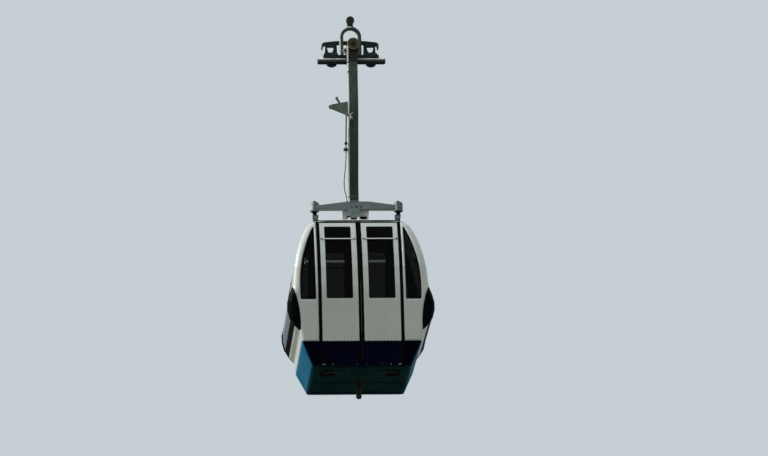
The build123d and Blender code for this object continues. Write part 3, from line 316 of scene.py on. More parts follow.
def smooth_regions(shape, sharp_angle=40.0):
    """Lists of faces that join with no edge sharper than an angle, and each face's list number."""
    limit = math.radians(sharp_angle)
    regions, region_of = [], {}
    for start in shape.faces:
        if start in region_of:
            continue
        region = [start]
        region_of[start] = len(regions)
        for face in region:
            for edge in face.edges:
                if len(edge.link_faces) != 2 or edge.calc_face_angle(math.pi) > limit:
                    continue
                for other in edge.link_faces:
                    if other not in region_of:
                        region_of[other] = len(regions)
                        region.append(other)
        regions.append(region)
    return regions, region_of


def faces_outward(region):
    """True for a region as large as a pane that looks away from the cabin's middle."""
    area = sum(face.calc_area() for face in region)
    centre = sum((face.calc_center_median() * face.calc_area() for face in region), Vector()) / area
    normal = sum((face.normal * face.calc_area() for face in region), Vector())
    flat = Vector((centre.x, centre.y, 0.0))
    return area >= PANE_AREA and normal.dot(flat) >= 0.3 * area * flat.length


def pane_rims(node):
    """Closed loops of (point, normal) along the outer rim of each pane in a CAD node."""
    shape = welded(node)
    shape.normal_update()
    regions, region_of = smooth_regions(shape)
    loops = []
    for index, region in enumerate(regions):
        if not faces_outward(region):
            continue
        rim = {}
        for edge in (edge for face in region for edge in face.edges):
            if any(region_of[other] != index for other in edge.link_faces):
                for here, there in (edge.verts, reversed(edge.verts)):
                    rim.setdefault(here, []).append(there)
        loop = [next(iter(rim))]
        while ahead := [vertex for vertex in rim[loop[-1]] if vertex not in loop]:
            loop.append(ahead[0])
        points = []
        for vertex in loop:
            normals = [face.normal for face in vertex.link_faces if region_of[face] == index]
            points.append((vertex.co.copy(), sum(normals, Vector()).normalized()))
        loops.append(points)
    shape.free()
    return loops


# Forms


def lathe(shape, profile, matrix, segments=24):
    """Turned form through (radius, height) pairs, closed at zero radius or by its first pair again."""
    rings = []
    for radius, height in profile:
        if rings and (radius, height) == profile[0]:
            rings.append(rings[0])
            continue
        points = circle_points(segments, radius) if radius else [(0, 0)]
        rings.append([shape.verts.new(matrix @ Vector((x, y, height))) for x, y in points])
    for low, high in zip(rings, rings[1:]):
        for step in range(segments):
            after = (step + 1) % segments
            corners = [low[step % len(low)], low[after % len(low)]]
            corners += [high[after % len(high)], high[step % len(high)]]
            corners = list(dict.fromkeys(corners))
            if len(corners) > 2:
                shape.faces.new(corners)


def block(shape, place, size, round_by=0.003, axis=None):
    """Block with rounded edges, level or with its own Z along axis."""
    made = bmesh.new()
    bmesh.ops.create_cube(made, size=1.0)
    bmesh.ops.scale(made, vec=size, verts=made.verts)
    bmesh.ops.bevel(made, geom=made.edges[:], offset=round_by, segments=2, profile=0.6, affect="EDGES")
    matrix = Matrix.Translation(Vector(place)) if axis is None else facing(place, axis)
    bmesh.ops.transform(made, matrix=matrix, verts=made.verts)
    mesh = bpy.data.meshes.new("part")
    made.to_mesh(mesh)
    made.free()
    shape.from_mesh(mesh)
    bpy.data.meshes.remove(mesh)


def ring(shape, place, axis, inner, outer, height, segments=32):
    """Flat ring with a softened rim, standing on place along axis."""
    soft = 0.3 * height
    start = (inner, 0)
    profile = [start, (outer, 0), (outer, height - soft), (outer - soft, height), (inner, height), start]
    lathe(shape, profile, facing(place, axis), segments)


def hex_head(shape, place, axis, across):
    """Hexagon head with a washer, standing on place along axis."""
    matrix = facing(place, axis, 0.3)
    washer, reach, tip = across * 0.72, across * 0.56, across * 0.48
    low, high = across * 0.10, across * 0.62
    lathe(shape, [(0, 0), (washer, 0), (washer, low), (0, low)], matrix, 20)
    lathe(shape, [(0, low), (reach, low), (reach, high - across * 0.07), (tip, high), (0, high)], matrix, 6)


def dome_head(shape, place, axis, radius):
    """Low domed screw head on place."""
    profile = [(0, 0), (radius, 0), (radius, radius * 0.12)]
    for angle in (0.35, 0.75, 1.15):
        profile.append((radius * math.cos(angle), radius * (0.12 + 0.38 * math.sin(angle))))
    lathe(shape, profile + [(0, radius * 0.5)], facing(place, axis), 14)


# Pieces


def place_piece(name, data, finish, body):
    """Object that holds a mesh or curve, with its finish, body and slot."""
    data.materials.append(finishes[finish])
    piece = bpy.data.objects.new(name, data)
    bpy.context.scene.collection.objects.link(piece)
    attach(piece, body)
    return piece


def make_piece(name, shape, finish, body="cabin", sharp_angle=35.0):
    """Piece from a finished bmesh."""
    mesh = bpy.data.meshes.new(name)
    bmesh.ops.recalc_face_normals(shape, faces=shape.faces)
    shape.to_mesh(mesh)
    shape.free()
    for face in mesh.polygons:
        face.use_smooth = True
    mesh.set_sharp_from_angle(angle=math.radians(sharp_angle))
    return place_piece(name, mesh, finish, body)


def make_tubes(name, lines, radius, finish, body="cabin", cyclic=False, sides=2):
    """Piece of round tubes, one along each list of points."""
    curve = bpy.data.curves.new(name, "CURVE")
    curve.dimensions = "3D"
    curve.bevel_depth = radius
    curve.bevel_resolution = sides
    curve.use_fill_caps = not cyclic
    for points in lines:
        spline = curve.splines.new("POLY")
        spline.points.add(len(points) - 1)
        for target, point in zip(spline.points, points):
            target.co = (*point, 1.0)
        spline.use_cyclic_u = cyclic
    return place_piece(name, curve, finish, body)


def make_heads(name, heads, finish, body="cabin", kind=hex_head):
    """Piece of bolt heads, one at each (place, axis, size)."""
    shape = bmesh.new()
    for place, axis, size in heads:
        kind(shape, place, axis, size)
    return make_piece(name, shape, finish, body)


def make_screws(name, node, lines, finish, body="cabin", radius=0.005):
    """Piece of domed screws where each (origin, direction) line meets a CAD node's skin."""
    heads = [(*on_skin(node, origin, direction), radius) for origin, direction in lines]
    return make_heads(name, heads, finish, body, dome_head)


def make_blocks(name, places, size, round_by, finish):
    """Piece of like level blocks on the cabin."""
    shape = bmesh.new()
    for place in places:
        block(shape, place, size, round_by)
    return make_piece(name, shape, finish)


def make_weld(name, y, height, grow, half_y, finish):
    """Weld bead round the hanger's tube at a height."""
    low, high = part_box("hanger_tube")
    middle = ((low.x + high.x) / 2, y, height)
    loop = rounded_loop(middle, (high.x - low.x) / 2 + grow, half_y, TUBE_CORNER)
    return make_tubes(name, [loop], WELD_RADIUS, finish, cyclic=True)


def paint_nodes(finish, *names):
    """Gives CAD nodes a finish."""
    for name in names:
        data = nodes[name].data
        data.materials.clear()
        data.materials.append(finishes[finish])


# Materials


def start_material(name):
    """New material with its node tree and main shader."""
    material = bpy.data.materials.new(name)
    material.use_nodes = True
    return material, material.node_tree, material.node_tree.nodes["Principled BSDF"]


def feed(tree, socket, value):
    """Gives a socket another socket's value, a colour or a plain value."""
    if isinstance(value, bpy.types.NodeSocket):
        tree.links.new(value, socket)
    elif socket.type == "RGBA":
        socket.default_value = (*value, 1.0)
    else:
        socket.default_value = value


def noise_of(tree, scale, detail=4.0, stretch=(1.0, 1.0, 1.0), roughness=0.5):
    """Noise value over the surface, in coordinates stretched along the axes."""
    source = tree.nodes.new("ShaderNodeTexCoord")
    mapping = tree.nodes.new("ShaderNodeMapping")
    noise = tree.nodes.new("ShaderNodeTexNoise")
    feed(tree, mapping.inputs["Scale"], stretch)
    feed(tree, mapping.inputs["Vector"], source.outputs["Object"])
    feed(tree, noise.inputs["Vector"], mapping.outputs["Vector"])
    for name, value in (("Scale", scale), ("Detail", detail), ("Roughness", roughness)):
        feed(tree, noise.inputs[name], value)
    return noise.outputs["Fac"]


def ramp_of(tree, value, low, high, out_low=0.0, out_high=1.0):
    """Value spread from one range to another, held at its ends."""
    spread = tree.nodes.new("ShaderNodeMapRange")
    for name, number in (("From Min", low), ("From Max", high), ("To Min", out_low), ("To Max", out_high)):
        feed(tree, spread.inputs[name], number)
    feed(tree, spread.inputs["Value"], value)
    return spread.outputs["Result"]


def math_of(tree, operation, *values):
    """Result of a sum on one or two values, each a socket or a number."""
    node = tree.nodes.new("ShaderNodeMath")
    node.operation = operation
    for socket, value in zip(node.inputs, values):
        feed(tree, socket, value)
    return node.outputs["Value"]


def mix_of(tree, factor, low, high):
    """Colour between two, each a socket or a colour."""
    mix = tree.nodes.new("ShaderNodeMix")
    mix.data_type = "RGBA"
    feed(tree, mix.inputs["Factor"], factor)
    for name, value in (("A", low), ("B", high)):
        feed(tree, next(s for s in mix.inputs if s.name == name and s.type == "RGBA"), value)
    return next(s for s in mix.outputs if s.type == "RGBA")


def axis_of(tree, axis, source="Object"):
    """Coordinate of the surface along one axis of the row frame."""
    coordinates = tree.nodes.new("ShaderNodeTexCoord")
    split = tree.nodes.new("ShaderNodeSeparateXYZ")
    feed(tree, split.inputs["Vector"], coordinates.outputs[source])
    return split.outputs[axis]


def soft_edge(tree, radius):
    """Normal of the surface with its edges rounded by a radius."""
    rounded = tree.nodes.new("ShaderNodeBevel")
    rounded.samples = 6
    feed(tree, rounded.inputs["Radius"], radius)
    return rounded.outputs["Normal"]


def dress(tree, shader, colour, roughness, level, bump=None):
    """Gives the shader its colour, roughness, specular level and bump (height, strength, depth, normal)."""
    for name, value in (("Base Color", colour), ("Roughness", roughness), ("Specular IOR Level", level)):
        feed(tree, shader.inputs[name], value)
    if not bump:
        return
    node = tree.nodes.new("ShaderNodeBump")
    for name, value in zip(("Height", "Strength", "Distance", "Normal"), bump):
        if value is not None:
            feed(tree, node.inputs[name], value)
    feed(tree, shader.inputs["Normal"], node.outputs["Normal"])


def shade(colour, factor):
    """Darker or lighter copy of a colour."""
    return tuple(min(1.0, channel * factor) for channel in colour)


def painted_light_by_normal(tree, toned, painted_light, side, low, high, normal):
    """Colour that changes to a second colour where a normal looks towards a side of the object; it paints
    light: a highlight on lit sides, shade on shaded sides.
    """
    turned = tree.nodes.new("ShaderNodeVectorTransform")
    turned.vector_type = "NORMAL"
    turned.convert_from = "WORLD"
    turned.convert_to = "OBJECT"
    towards = tree.nodes.new("ShaderNodeVectorMath")
    towards.operation = "DOT_PRODUCT"
    feed(tree, turned.inputs["Vector"], normal)
    feed(tree, towards.inputs[0], turned.outputs["Vector"])
    feed(tree, towards.inputs[1], Vector(side).normalized())
    return mix_of(tree, ramp_of(tree, towards.outputs["Value"], low, high), toned, painted_light)


def bow_rim_highlight(tree, centre_z, radius, side):
    """1 on the outer rim of an upright bow with straight legs, on the side that faces the key light: where a
    painted highlight goes.
    """
    across = axis_of(tree, "X")
    above = math_of(tree, "MAXIMUM", math_of(tree, "SUBTRACT", axis_of(tree, "Z"), centre_z), 0.0)
    squares = [math_of(tree, "MULTIPLY", value, value) for value in (across, above)]
    reach = math_of(tree, "POWER", math_of(tree, "ADD", *squares), 0.5)
    shares = [math_of(tree, "MULTIPLY", value, share) for value, share in zip((across, above), side)]
    turned = ramp_of(tree, math_of(tree, "ADD", *shares), 0.4 * radius, 0.7 * radius)
    rim = ramp_of(tree, reach, radius - 0.003, radius + 0.004)
    inside = ramp_of(tree, reach, radius + 0.022, radius + 0.025, 1.0, 0.0)
    return math_of(tree, "MULTIPLY", turned, math_of(tree, "MULTIPLY", rim, inside))


def gelcoat(name, colour, dirt, gloss=0.35, coat=0.2, rough=0.28, foot=None, soft=0.0):
    """Glossy moulded panel with dust, rain streaks and, if foot is given, a foot band of that colour."""
    material, tree, shader = start_material(name)
    streaks = ramp_of(tree, noise_of(tree, 9.0, 5.0, (1.0, 1.0, 0.09)), 0.42, 0.78)
    cloud = ramp_of(tree, noise_of(tree, 2.2, 3.0), 0.35, 0.75)
    grime = math_of(tree, "MULTIPLY", math_of(tree, "ADD", streaks, cloud), 0.5 * dirt)
    toned = mix_of(tree, grime, colour, [channel * tone for channel, tone in zip(colour, DIRT_TONE)])
    if foot is not None:
        wave = math_of(tree, "SINE", math_of(tree, "MULTIPLY", axis_of(tree, "X"), 2 * math.pi / SCALLOP))
        edge = math_of(tree, "ADD", axis_of(tree, "Z"), math_of(tree, "MULTIPLY", wave, SCALLOP_DEPTH))
        below = ramp_of(tree, edge, NAVY_TOP - 0.001, NAVY_TOP + 0.001, 1.0, 0.0)
        toned = mix_of(tree, below, toned, mix_of(tree, streaks, foot, shade(foot, 2.2)))
    dull = ramp_of(tree, cloud, 0.0, 1.0, rough, rough + 0.18)
    normal = soft_edge(tree, soft) if soft else None
    dress(tree, shader, toned, dull, gloss, (noise_of(tree, 55.0, 2.0), 0.05, 0.002, normal))
    feed(tree, shader.inputs["Coat Weight"], coat)
    feed(tree, shader.inputs["Coat Roughness"], 0.12)
    return material


def steel_paint(
    name, colour, rust=0.3, roughness=0.5, mottle=0.25, painted_light=None, highlight_from=0.30, shaded_between=None, rim=None,
    highlight_left_of=None,
):
    """Painted or greased steel with dull patches and a little rust.

    Given a highlight colour, the side that faces the key light is painted with it (painted highlight),
    from the given start; given an x, all left of it is painted lit too (painted highlight); given two
    heights, painted shade darkens the paint from the upper down to the lower; given a bow as centre
    height, radius and the side that faces the light, a painted highlight lies on its outer rim.
    """
    material, tree, shader = start_material(name)
    patches = ramp_of(tree, noise_of(tree, 14.0, 6.0), 0.35, 0.7)
    wear_and_painted_light = mix_of(tree, patches, shade(colour, 1 - mottle), shade(colour, 1 + mottle))
    spots = ramp_of(tree, noise_of(tree, 46.0, 5.0, roughness=0.7), 0.66, 0.74, 0.0, rust)
    runs = ramp_of(tree, noise_of(tree, 20.0, 3.0, (1.0, 1.0, 0.07)), 0.60, 0.80, 0.0, rust * 0.8)
    wear_and_painted_light = mix_of(tree, math_of(tree, "MAXIMUM", spots, runs), wear_and_painted_light, RUST)
    normal = soft_edge(tree, SOFT_EDGE) if painted_light else None
    # Painted highlight: faces that look towards the key light take the highlight colour.
    if painted_light:
        wear_and_painted_light = painted_light_by_normal(tree, wear_and_painted_light, painted_light, KEY_LIGHT_SIDE, highlight_from, highlight_from + 0.3, normal)
    # Painted shade: the paint darkens towards the lower of the two heights.
    if shaded_between:
        wear_and_painted_light = mix_of(tree, ramp_of(tree, axis_of(tree, "Z"), *shaded_between, 1.0, 0.0), wear_and_painted_light, PAINTED_SHADE)
    # Painted highlight on the outer rim of the bow, on the side the key light reaches.
    if rim:
        wear_and_painted_light = mix_of(tree, bow_rim_highlight(tree, *rim), wear_and_painted_light, painted_light)
    # Painted highlight: all left of the given x takes the highlight colour, as the sunlit left side.
    if highlight_left_of:
        left = ramp_of(tree, axis_of(tree, "X"), highlight_left_of - 0.004, highlight_left_of + 0.004, 0.9, 0.0)
        wear_and_painted_light = mix_of(tree, left, wear_and_painted_light, painted_light)
    dull = ramp_of(tree, patches, 0.0, 1.0, roughness - 0.1, roughness + 0.15)
    dress(tree, shader, wear_and_painted_light, dull, 0.2, (noise_of(tree, 120.0, 4.0), 0.12, 0.002, normal))
    return material


def bare_casting(name, colour, roughness=0.5):
    """Bare casting with painted light: pale on top as a painted highlight, dark underneath as painted shade.
    """
    material, tree, shader = start_material(name)
    patches = ramp_of(tree, noise_of(tree, 18.0, 6.0, (0.4, 1.0, 1.0)), 0.35, 0.7)
    toned = mix_of(tree, patches, shade(colour, 0.72), shade(colour, 1.2))
    stains = ramp_of(tree, noise_of(tree, 9.0, 4.0), 0.55, 0.75, 0.0, 0.55)
    toned = mix_of(tree, stains, toned, STAIN)
    normal = soft_edge(tree, SOFT_EDGE)
    # Painted shade: faces that look down are painted dark.
    toned = painted_light_by_normal(tree, toned, shade(colour, 0.12), SHADED_UNDER_SIDE, 0.15, 0.8, normal)
    # Painted highlight: faces that look up and to the front are painted pale.
    toned = painted_light_by_normal(tree, toned, PAINTED_TOP_HIGHLIGHT, LIT_UPPER_SIDE, 0.66, 0.86, normal)
    dull = ramp_of(tree, patches, 0.0, 1.0, roughness - 0.1, roughness + 0.15)
    dress(tree, shader, toned, dull, 0.2, (noise_of(tree, 90.0, 5.0), 0.2, 0.002, normal))
    return material


def bare_metal(name, colour, roughness):
    """Bright or zinc-coated metal with fine brushing."""
    material, tree, shader = start_material(name)
    grain = noise_of(tree, 60.0, 4.0, (1.0, 1.0, 8.0))
    tone = mix_of(tree, ramp_of(tree, grain, 0.3, 0.7), shade(colour, 0.7), shade(colour, 1.15))
    dull = ramp_of(tree, grain, 0.2, 0.8, roughness - 0.1, roughness + 0.15)
    dress(tree, shader, tone, dull, 0.5, (grain, 0.08, 0.001))
    feed(tree, shader.inputs["Metallic"], 0.85)
    return material


def rubber(name, colour, roughness=0.72):
    """Matt rubber with a dusty bloom."""
    material, tree, shader = start_material(name)
    bloom = ramp_of(tree, noise_of(tree, 30.0, 5.0), 0.45, 0.75)
    tone = mix_of(tree, bloom, colour, shade(colour, 2.4))
    dull = ramp_of(tree, bloom, 0.0, 1.0, roughness - 0.12, roughness + 0.1)
    dress(tree, shader, tone, dull, 0.02, (noise_of(tree, 220.0, 2.0), 0.1, 0.001))
    return material


def tinted_glass(name, colour, density):
    """Dark pane that lets a little light through its two faces, with a film of dust."""
    material, tree, shader = start_material(name)
    film = ramp_of(tree, noise_of(tree, 5.0, 6.0, (1.0, 1.0, 0.35)), 0.5, 0.85)
    dull = ramp_of(tree, film, 0.0, 1.0, 0.05, 0.16)
    dress(tree, shader, mix_of(tree, film, colour, PANE_DUST), dull, 0.05)
    feed(tree, shader.inputs["Alpha"], 1 - math.sqrt(1 - density))
    return material


# Operators


class GONDOLA_OT_finishes(bpy.types.Operator):
    """Mix every paint, rubber and glass"""

    bl_idname = "gondola.finishes"
    bl_label = "Finishes"

    def execute(self, context):
        paint = context.scene.gondola_paint
        metal = context.scene.gondola_metal
        glass = context.scene.gondola_glass
        dirt, painted_light = paint.dirt, tuple(metal.painted_light)
        # Painted light on the hanger's tube and head: highlight on the key-light side and left of an x;
        # painted shade low on the tube.
        tube_painted_light = {"painted_light": painted_light, "highlight_from": 0.55, "highlight_left_of": TUBE_HIGHLIGHT_X, "shaded_between": TUBE_SHADE_HEIGHTS}
        head_painted_light = {"painted_light": painted_light, "highlight_from": 0.45, "highlight_left_of": HEAD_HIGHLIGHT_X}
        # Steel finishes given the highlight colour carry a painted highlight on the side facing the key
        # light.
        finishes.update(
            shell=gelcoat("white gelcoat", paint.shell, dirt),
            bow=gelcoat("white gelcoat with soft edges", paint.shell, dirt, soft=BOW_EDGE),
            door=gelcoat("door gelcoat with foot band", paint.shell, dirt, 0.08, 0.0, 0.34, paint.navy),
            navy=gelcoat("navy paint", paint.navy, dirt, 0.04, 0.0),
            teal=gelcoat("teal paint", paint.teal, dirt, 0.03, 0.0, 0.5, soft=PAN_EDGE),
            floor=gelcoat("floor coating", paint.floor, 0.1, 0.03, 0.0, 0.6, soft=PAN_EDGE),
            cheek=gelcoat("black corner moulding", paint.cheek, 0.2, 0.03, 0.0, 0.4),
            bar=gelcoat("window bar paint", paint.bar, 0.25),
            box=gelcoat("roof box moulding", metal.box, 0.3, 0.25, 0.0, 0.4),
            hanger=steel_paint("hanger paint", metal.hanger, 0.25, **tube_painted_light),
            head=steel_paint("greased hanger head", metal.head, 0.6, 0.45, **head_painted_light),
            brown=steel_paint("old grease", metal.head, 0.6, 0.45),
            beam=steel_paint("crossbeam paint", metal.beam, 0.15, 0.5, 0.10, painted_light),
            arch=steel_paint("lever paint", metal.arch, 0.3, 0.45, 0.25, painted_light, rim=ARCH_RIM_HIGHLIGHT),
            roller=steel_paint("roller paint", metal.arch, 0.3, 0.45, 0.25, painted_light),
            black=steel_paint("black steel paint", (0.006, 0.008, 0.008), 0.1),
            steel=steel_paint("dark steel paint", metal.hanger),
            plate=steel_paint("control plate paint", metal.plate),
            # Pale paint made from the highlight colour, plus a painted highlight on the key-light side.
            bleached=steel_paint("bleached paint", shade(painted_light, 0.75), 0.1, 0.5, 0.1, painted_light),
            grip=steel_paint("greased casting", metal.grip, 0.35),
            sleeve=bare_casting("bare casting", metal.sleeve),
            cup=steel_paint("damper paint", metal.cup, 0.2, 0.5, 0.15, painted_light),
            tyre=rubber("cast wheel ring", metal.tyre, 0.45),
            zinc=bare_metal("zinc-coated steel", (0.30, 0.31, 0.30), 0.45),
            bright=bare_metal("bright steel", (0.62, 0.62, 0.60), 0.28),
            pale=gelcoat("pale plastic", (0.80, 0.81, 0.79), 0.2, 0.25, 0.0),
            tan=rubber("tan return spring", (0.85, 0.76, 0.58), 0.5),
            seal=rubber("seal rubber", glass.rubber),
            glass=tinted_glass("tinted pane", glass.tint, glass.density),
            seat=rubber("seat moulding", (0.10, 0.105, 0.11), 0.6),
        )
        return {"FINISHED"}


class GONDOLA_OT_shell(bpy.types.Operator):
    """Finish the cabin's panels, with their screws and the seam under the roof"""

    bl_idname = "gondola.shell"
    bl_label = "Shell panels"

    def execute(self, context):
        paint_nodes("shell", "roof_shell", "far_side_panel")
        paint_nodes("bow", "left_arch_frame", "right_arch_frame")
        paint_nodes("teal", "left_lower_end", "right_lower_end")
        paint_nodes("navy", "side_skirts")
        paint_nodes("cheek", "end_cheeks")
        paint_nodes("seal", "end_seals", "roof_gasket")
        self.roof_seam()
        self.roof_lip()
        for name, side in SIDES:
            self.end_screws(name, side)
            self.side_screws(name, side)
        return {"FINISHED"}

    def roof_seam(self):
        """Sealant along the joint of roof and arches, open at the doors."""
        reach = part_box("roof_shell")[1]
        seam_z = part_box("far_side_panel")[1].z
        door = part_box("roof_gasket")[1].x + 0.004
        loop = rounded_loop((0, 0, seam_z), reach.x, reach.y, ROOF_CORNER, 10)
        near = 3 * len(loop) // 4
        start, end = (Vector((x, -reach.y, seam_z)) for x in (door, -door))
        make_tubes("roof_seam", [[start, *loop[near:], *loop[:near], end]], 0.003, "seal")

    def roof_lip(self):
        """Rubber lip along the roof's edge over the doors."""
        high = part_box("roof_gasket")[1]
        line = [
            on_skin("roof_shell", (x, -BEYOND_END, high.z + LIP_RADIUS), FAR)[0]
            for x in steps_between(-high.x, high.x, 9)
        ]
        make_tubes("roof_lip", [line], LIP_RADIUS, "seal")

    def end_screws(self, name, side):
        """Rows of screws across the lower end and along the foot of the arch."""
        for node, finish, heights in (
            (f"{name}_lower_end", "teal", (0.040, 0.300)),
            (f"{name}_arch_frame", "shell", (0.365,)),
        ):
            lines = [
                ((side * BEYOND_END, y, up(height)), (-side, 0, 0))
                for height in heights for y in steps_between(-0.72, 0.72, 9)
            ]
            make_screws(f"{node}_screws", node, lines, finish)

    def side_screws(self, name, side):
        """Screws beside the doors, along the cheeks and on the side skirts."""
        for node, finish, places in (
            (f"{name}_arch_frame", "shell", [(0.622, z) for z in steps_between(0.40, 0.86, 4)]),
            ("end_cheeks", "cheek", [(0.893, 0.62), (0.915, 0.80), (0.950, 1.00)]),
            ("side_skirts", "navy", [(x, 0.30) for x in (0.640, 0.715, 0.785)]),
        ):
            lines = [
                ((side * x, hand * BEYOND_END, up(height)), (0, -hand, 0))
                for hand in (-1, 1) for x, height in places
            ]
            make_screws(f"{name}_side_{node}_screws", node, lines, finish)


class GONDOLA_OT_panes(bpy.types.Operator):
    """Glaze the windows, lay a rubber bead round each pane and fit the far window bars"""

    bl_idname = "gondola.panes"
    bl_label = "Panes and beads"

    def execute(self, context):
        bead = context.scene.gondola_glass.bead
        for name, body in PANES.items():
            paint_nodes("glass", name)
            lines = [[point + normal * bead * 0.9 for point, normal in rim] for rim in pane_rims(name)]
            make_tubes(f"{name}_beads", lines, bead, "seal", body, True)
        self.open_vents()
        self.far_bars()
        return {"FINISHED"}

    def open_vents(self):
        """Side panes, with the far windows' sashes let down by a slit."""
        low, high = (up(height) for height in VENT_SLIT)
        panes = welded("side_glass")
        for height in (low, high):
            far = [face for face in panes.faces if face.calc_center_median().y > 0]
            parts = dict.fromkeys(part for face in far for part in (*face.verts, *face.edges, face))
            bmesh.ops.bisect_plane(panes, geom=list(parts), plane_co=(0, 0, height), plane_no=ABOVE)
        middles = [(face, face.calc_center_median()) for face in panes.faces]
        between = [face for face, middle in middles if middle.y > 0 and low < middle.z < high]
        bmesh.ops.delete(panes, geom=between, context="FACES")
        rims = [edge for edge in panes.edges if edge.is_boundary]
        bmesh.ops.holes_fill(panes, edges=rims, sides=0)
        side_panes = make_piece("side_panes", panes, "glass", sharp_angle=40.0)
        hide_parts("side_glass")

    def far_bars(self):
        """Bars across the far windows, as the doors have them."""
        low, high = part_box("right_window_bar")
        middle = (low.z + high.z) / 2
        bars = bmesh.new()
        for _, side in SIDES:
            ends = [on_skin("far_side_panel", (side * x, BEYOND_END, middle), NEAR) for x in (low.x, high.x)]
            (inner, normal), (outer, _) = ends
            centre = (inner + outer) / 2 + normal * BAR_STAND
            block(bars, centre, (high.x - low.x, high.z - low.z, BAR_DEPTH), BAR_ROUND, normal)
            for end, _ in ends:
                block(bars, end + normal * BAR_STAND / 2, (0.030, 0.032, 0.014), BAR_ROUND, normal)
        make_piece("far_window_bars", bars, "bar")


class GONDOLA_OT_doors(bpy.types.Operator):
    """Finish the door leaves with their bars, clips, seals, screws and swing arms"""

    bl_idname = "gondola.doors"
    bl_label = "Doors"

    def execute(self, context):
        for name, side in SIDES:
            leaf = f"{name}_door"
            paint_nodes("door", f"{leaf}_frame")
            paint_nodes("seal", f"{leaf}_seals")
            paint_nodes("bar", f"{name}_window_bar")
            paint_nodes("black", f"{leaf}_arms")
            self.bar_clips(name, leaf)
            self.arm_nuts(name, side, leaf)
            self.leaf_screws(name, side, leaf)
        return {"FINISHED"}

    def bar_clips(self, name, leaf):
        """Ends of the bar that run on over the leaf, and the clips that hold them."""
        low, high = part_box(f"{name}_window_bar")
        middle = (low.z + high.z) / 2
        size = (BAR_OVERRUN + 0.016, high.z - low.z, BAR_DEPTH)
        ends, clips = bmesh.new(), bmesh.new()
        for start, hand in ((low.x, -1), (high.x, 1)):
            end_x, clip_x = start + hand * BAR_OVERRUN / 2, start + hand * (BAR_OVERRUN - 0.006)
            place, normal = on_skin(f"{leaf}_frame", (end_x, -BEYOND_END, middle), FAR)
            block(ends, place + normal * BAR_DEPTH / 2, size, BAR_ROUND, normal)
            place, normal = on_skin(f"{leaf}_frame", (clip_x, -BEYOND_END, middle), FAR)
            block(clips, place + normal * 0.007, (0.022, 0.030, 0.015), BAR_ROUND, normal)
            dome_head(clips, place + normal * 0.0145, normal, 0.006)
        make_piece(f"{name}_bar_ends", ends, "bar", leaf)
        make_piece(f"{name}_bar_clips", clips, "zinc", leaf)

    def arm_nuts(self, name, side, leaf):
        """Nuts under the lower arm and bolts under the leaf's bracket."""
        arm_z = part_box(f"{leaf}_arms")[0].z
        leaf_x = side * LEAF_PIVOT_X
        post_nut = ((side * ARM_POST_X, ARM_AXIS_Y, arm_z), BELOW, ARM_NUT)
        leaf_nuts = [((leaf_x, ARM_AXIS_Y, arm_z), BELOW, ARM_NUT)]
        leaf_nuts += [((leaf_x, y, up(-0.020)), BELOW, 0.013) for y in (-0.70, -0.76)]
        make_heads(f"{name}_post_nut", [post_nut], "black")
        make_heads(f"{name}_leaf_nuts", leaf_nuts, "black", leaf)

    def leaf_screws(self, name, side, leaf):
        """Screws along the leaf's upper edge and foot, and the pale studs under its edge."""
        low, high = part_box(f"{leaf}_frame")
        lines = [
            ((x, -BEYOND_END, up(height)), FAR)
            for height in (0.030, 0.900, 2.125) for x in steps_between(low.x + 0.03, high.x - 0.03, 3)
        ]
        make_screws(f"{name}_leaf_screws", f"{leaf}_frame", lines, "zinc", leaf, 0.004)
        studs = bmesh.new()
        for x, size in ((0.535, (0.052, 0.016, 0.008)), (0.410, (0.010, 0.026, 0.006))):
            place, normal = on_skin(f"{leaf}_frame", (side * x, -BEYOND_END, up(0.026)), FAR)
            block(studs, place, size, axis=normal)
        make_piece(f"{name}_foot_studs", studs, "zinc", leaf)


class GONDOLA_OT_interior(bpy.types.Operator):
    """Finish the benches and fit the rails and the ceiling lamp"""

    bl_idname = "gondola.interior"
    bl_label = "Interior"

    def execute(self, context):
        paint_nodes("seat", "left_bench", "right_bench")
        for name, side in SIDES:
            self.seat_ribs(name, side)
            self.rail(name, side)
        self.lamp()
        return {"FINISHED"}

    def seat_ribs(self, name, side):
        """Moulded ribs that part the bench into places."""
        lines = [[(side * x, y, up(z)) for x, z in BENCH_SECTION] for y in steps_between(-0.74, 0.74, 5)]
        make_tubes(f"{name}_seat_ribs", lines, 0.009, "seat", sides=3)

    def rail(self, name, side):
        """Grab rail along the end pane, on three brackets that stand on the bench's back."""
        x, foot_x, top, foot = side * RAIL_X, side * BACK_X, up(RAIL_HEIGHT), up(BACK_TOP)
        lines = [[(x, -RAIL_HALF_Y, top), (x, RAIL_HALF_Y, top)]]
        lines += [[(foot_x, y, foot), (foot_x, y, foot + 0.05), (x, y, top)] for y in (-0.45, 0.0, 0.45)]
        make_tubes(f"{name}_grab_rail", lines, 0.011, "bright", sides=3)

    def lamp(self):
        """Flat round lamp under the ceiling."""
        place, _ = on_skin("roof_shell", (0, 0, up(1.8)), ABOVE)
        profile = [(0, 0), (0.09, 0), (0.09, 0.010), (0.075, 0.026), (0, 0.032)]
        lamp = bmesh.new()
        lathe(lamp, profile, facing(place, BELOW), 40)
        make_piece("ceiling_lamp", lamp, "pale")


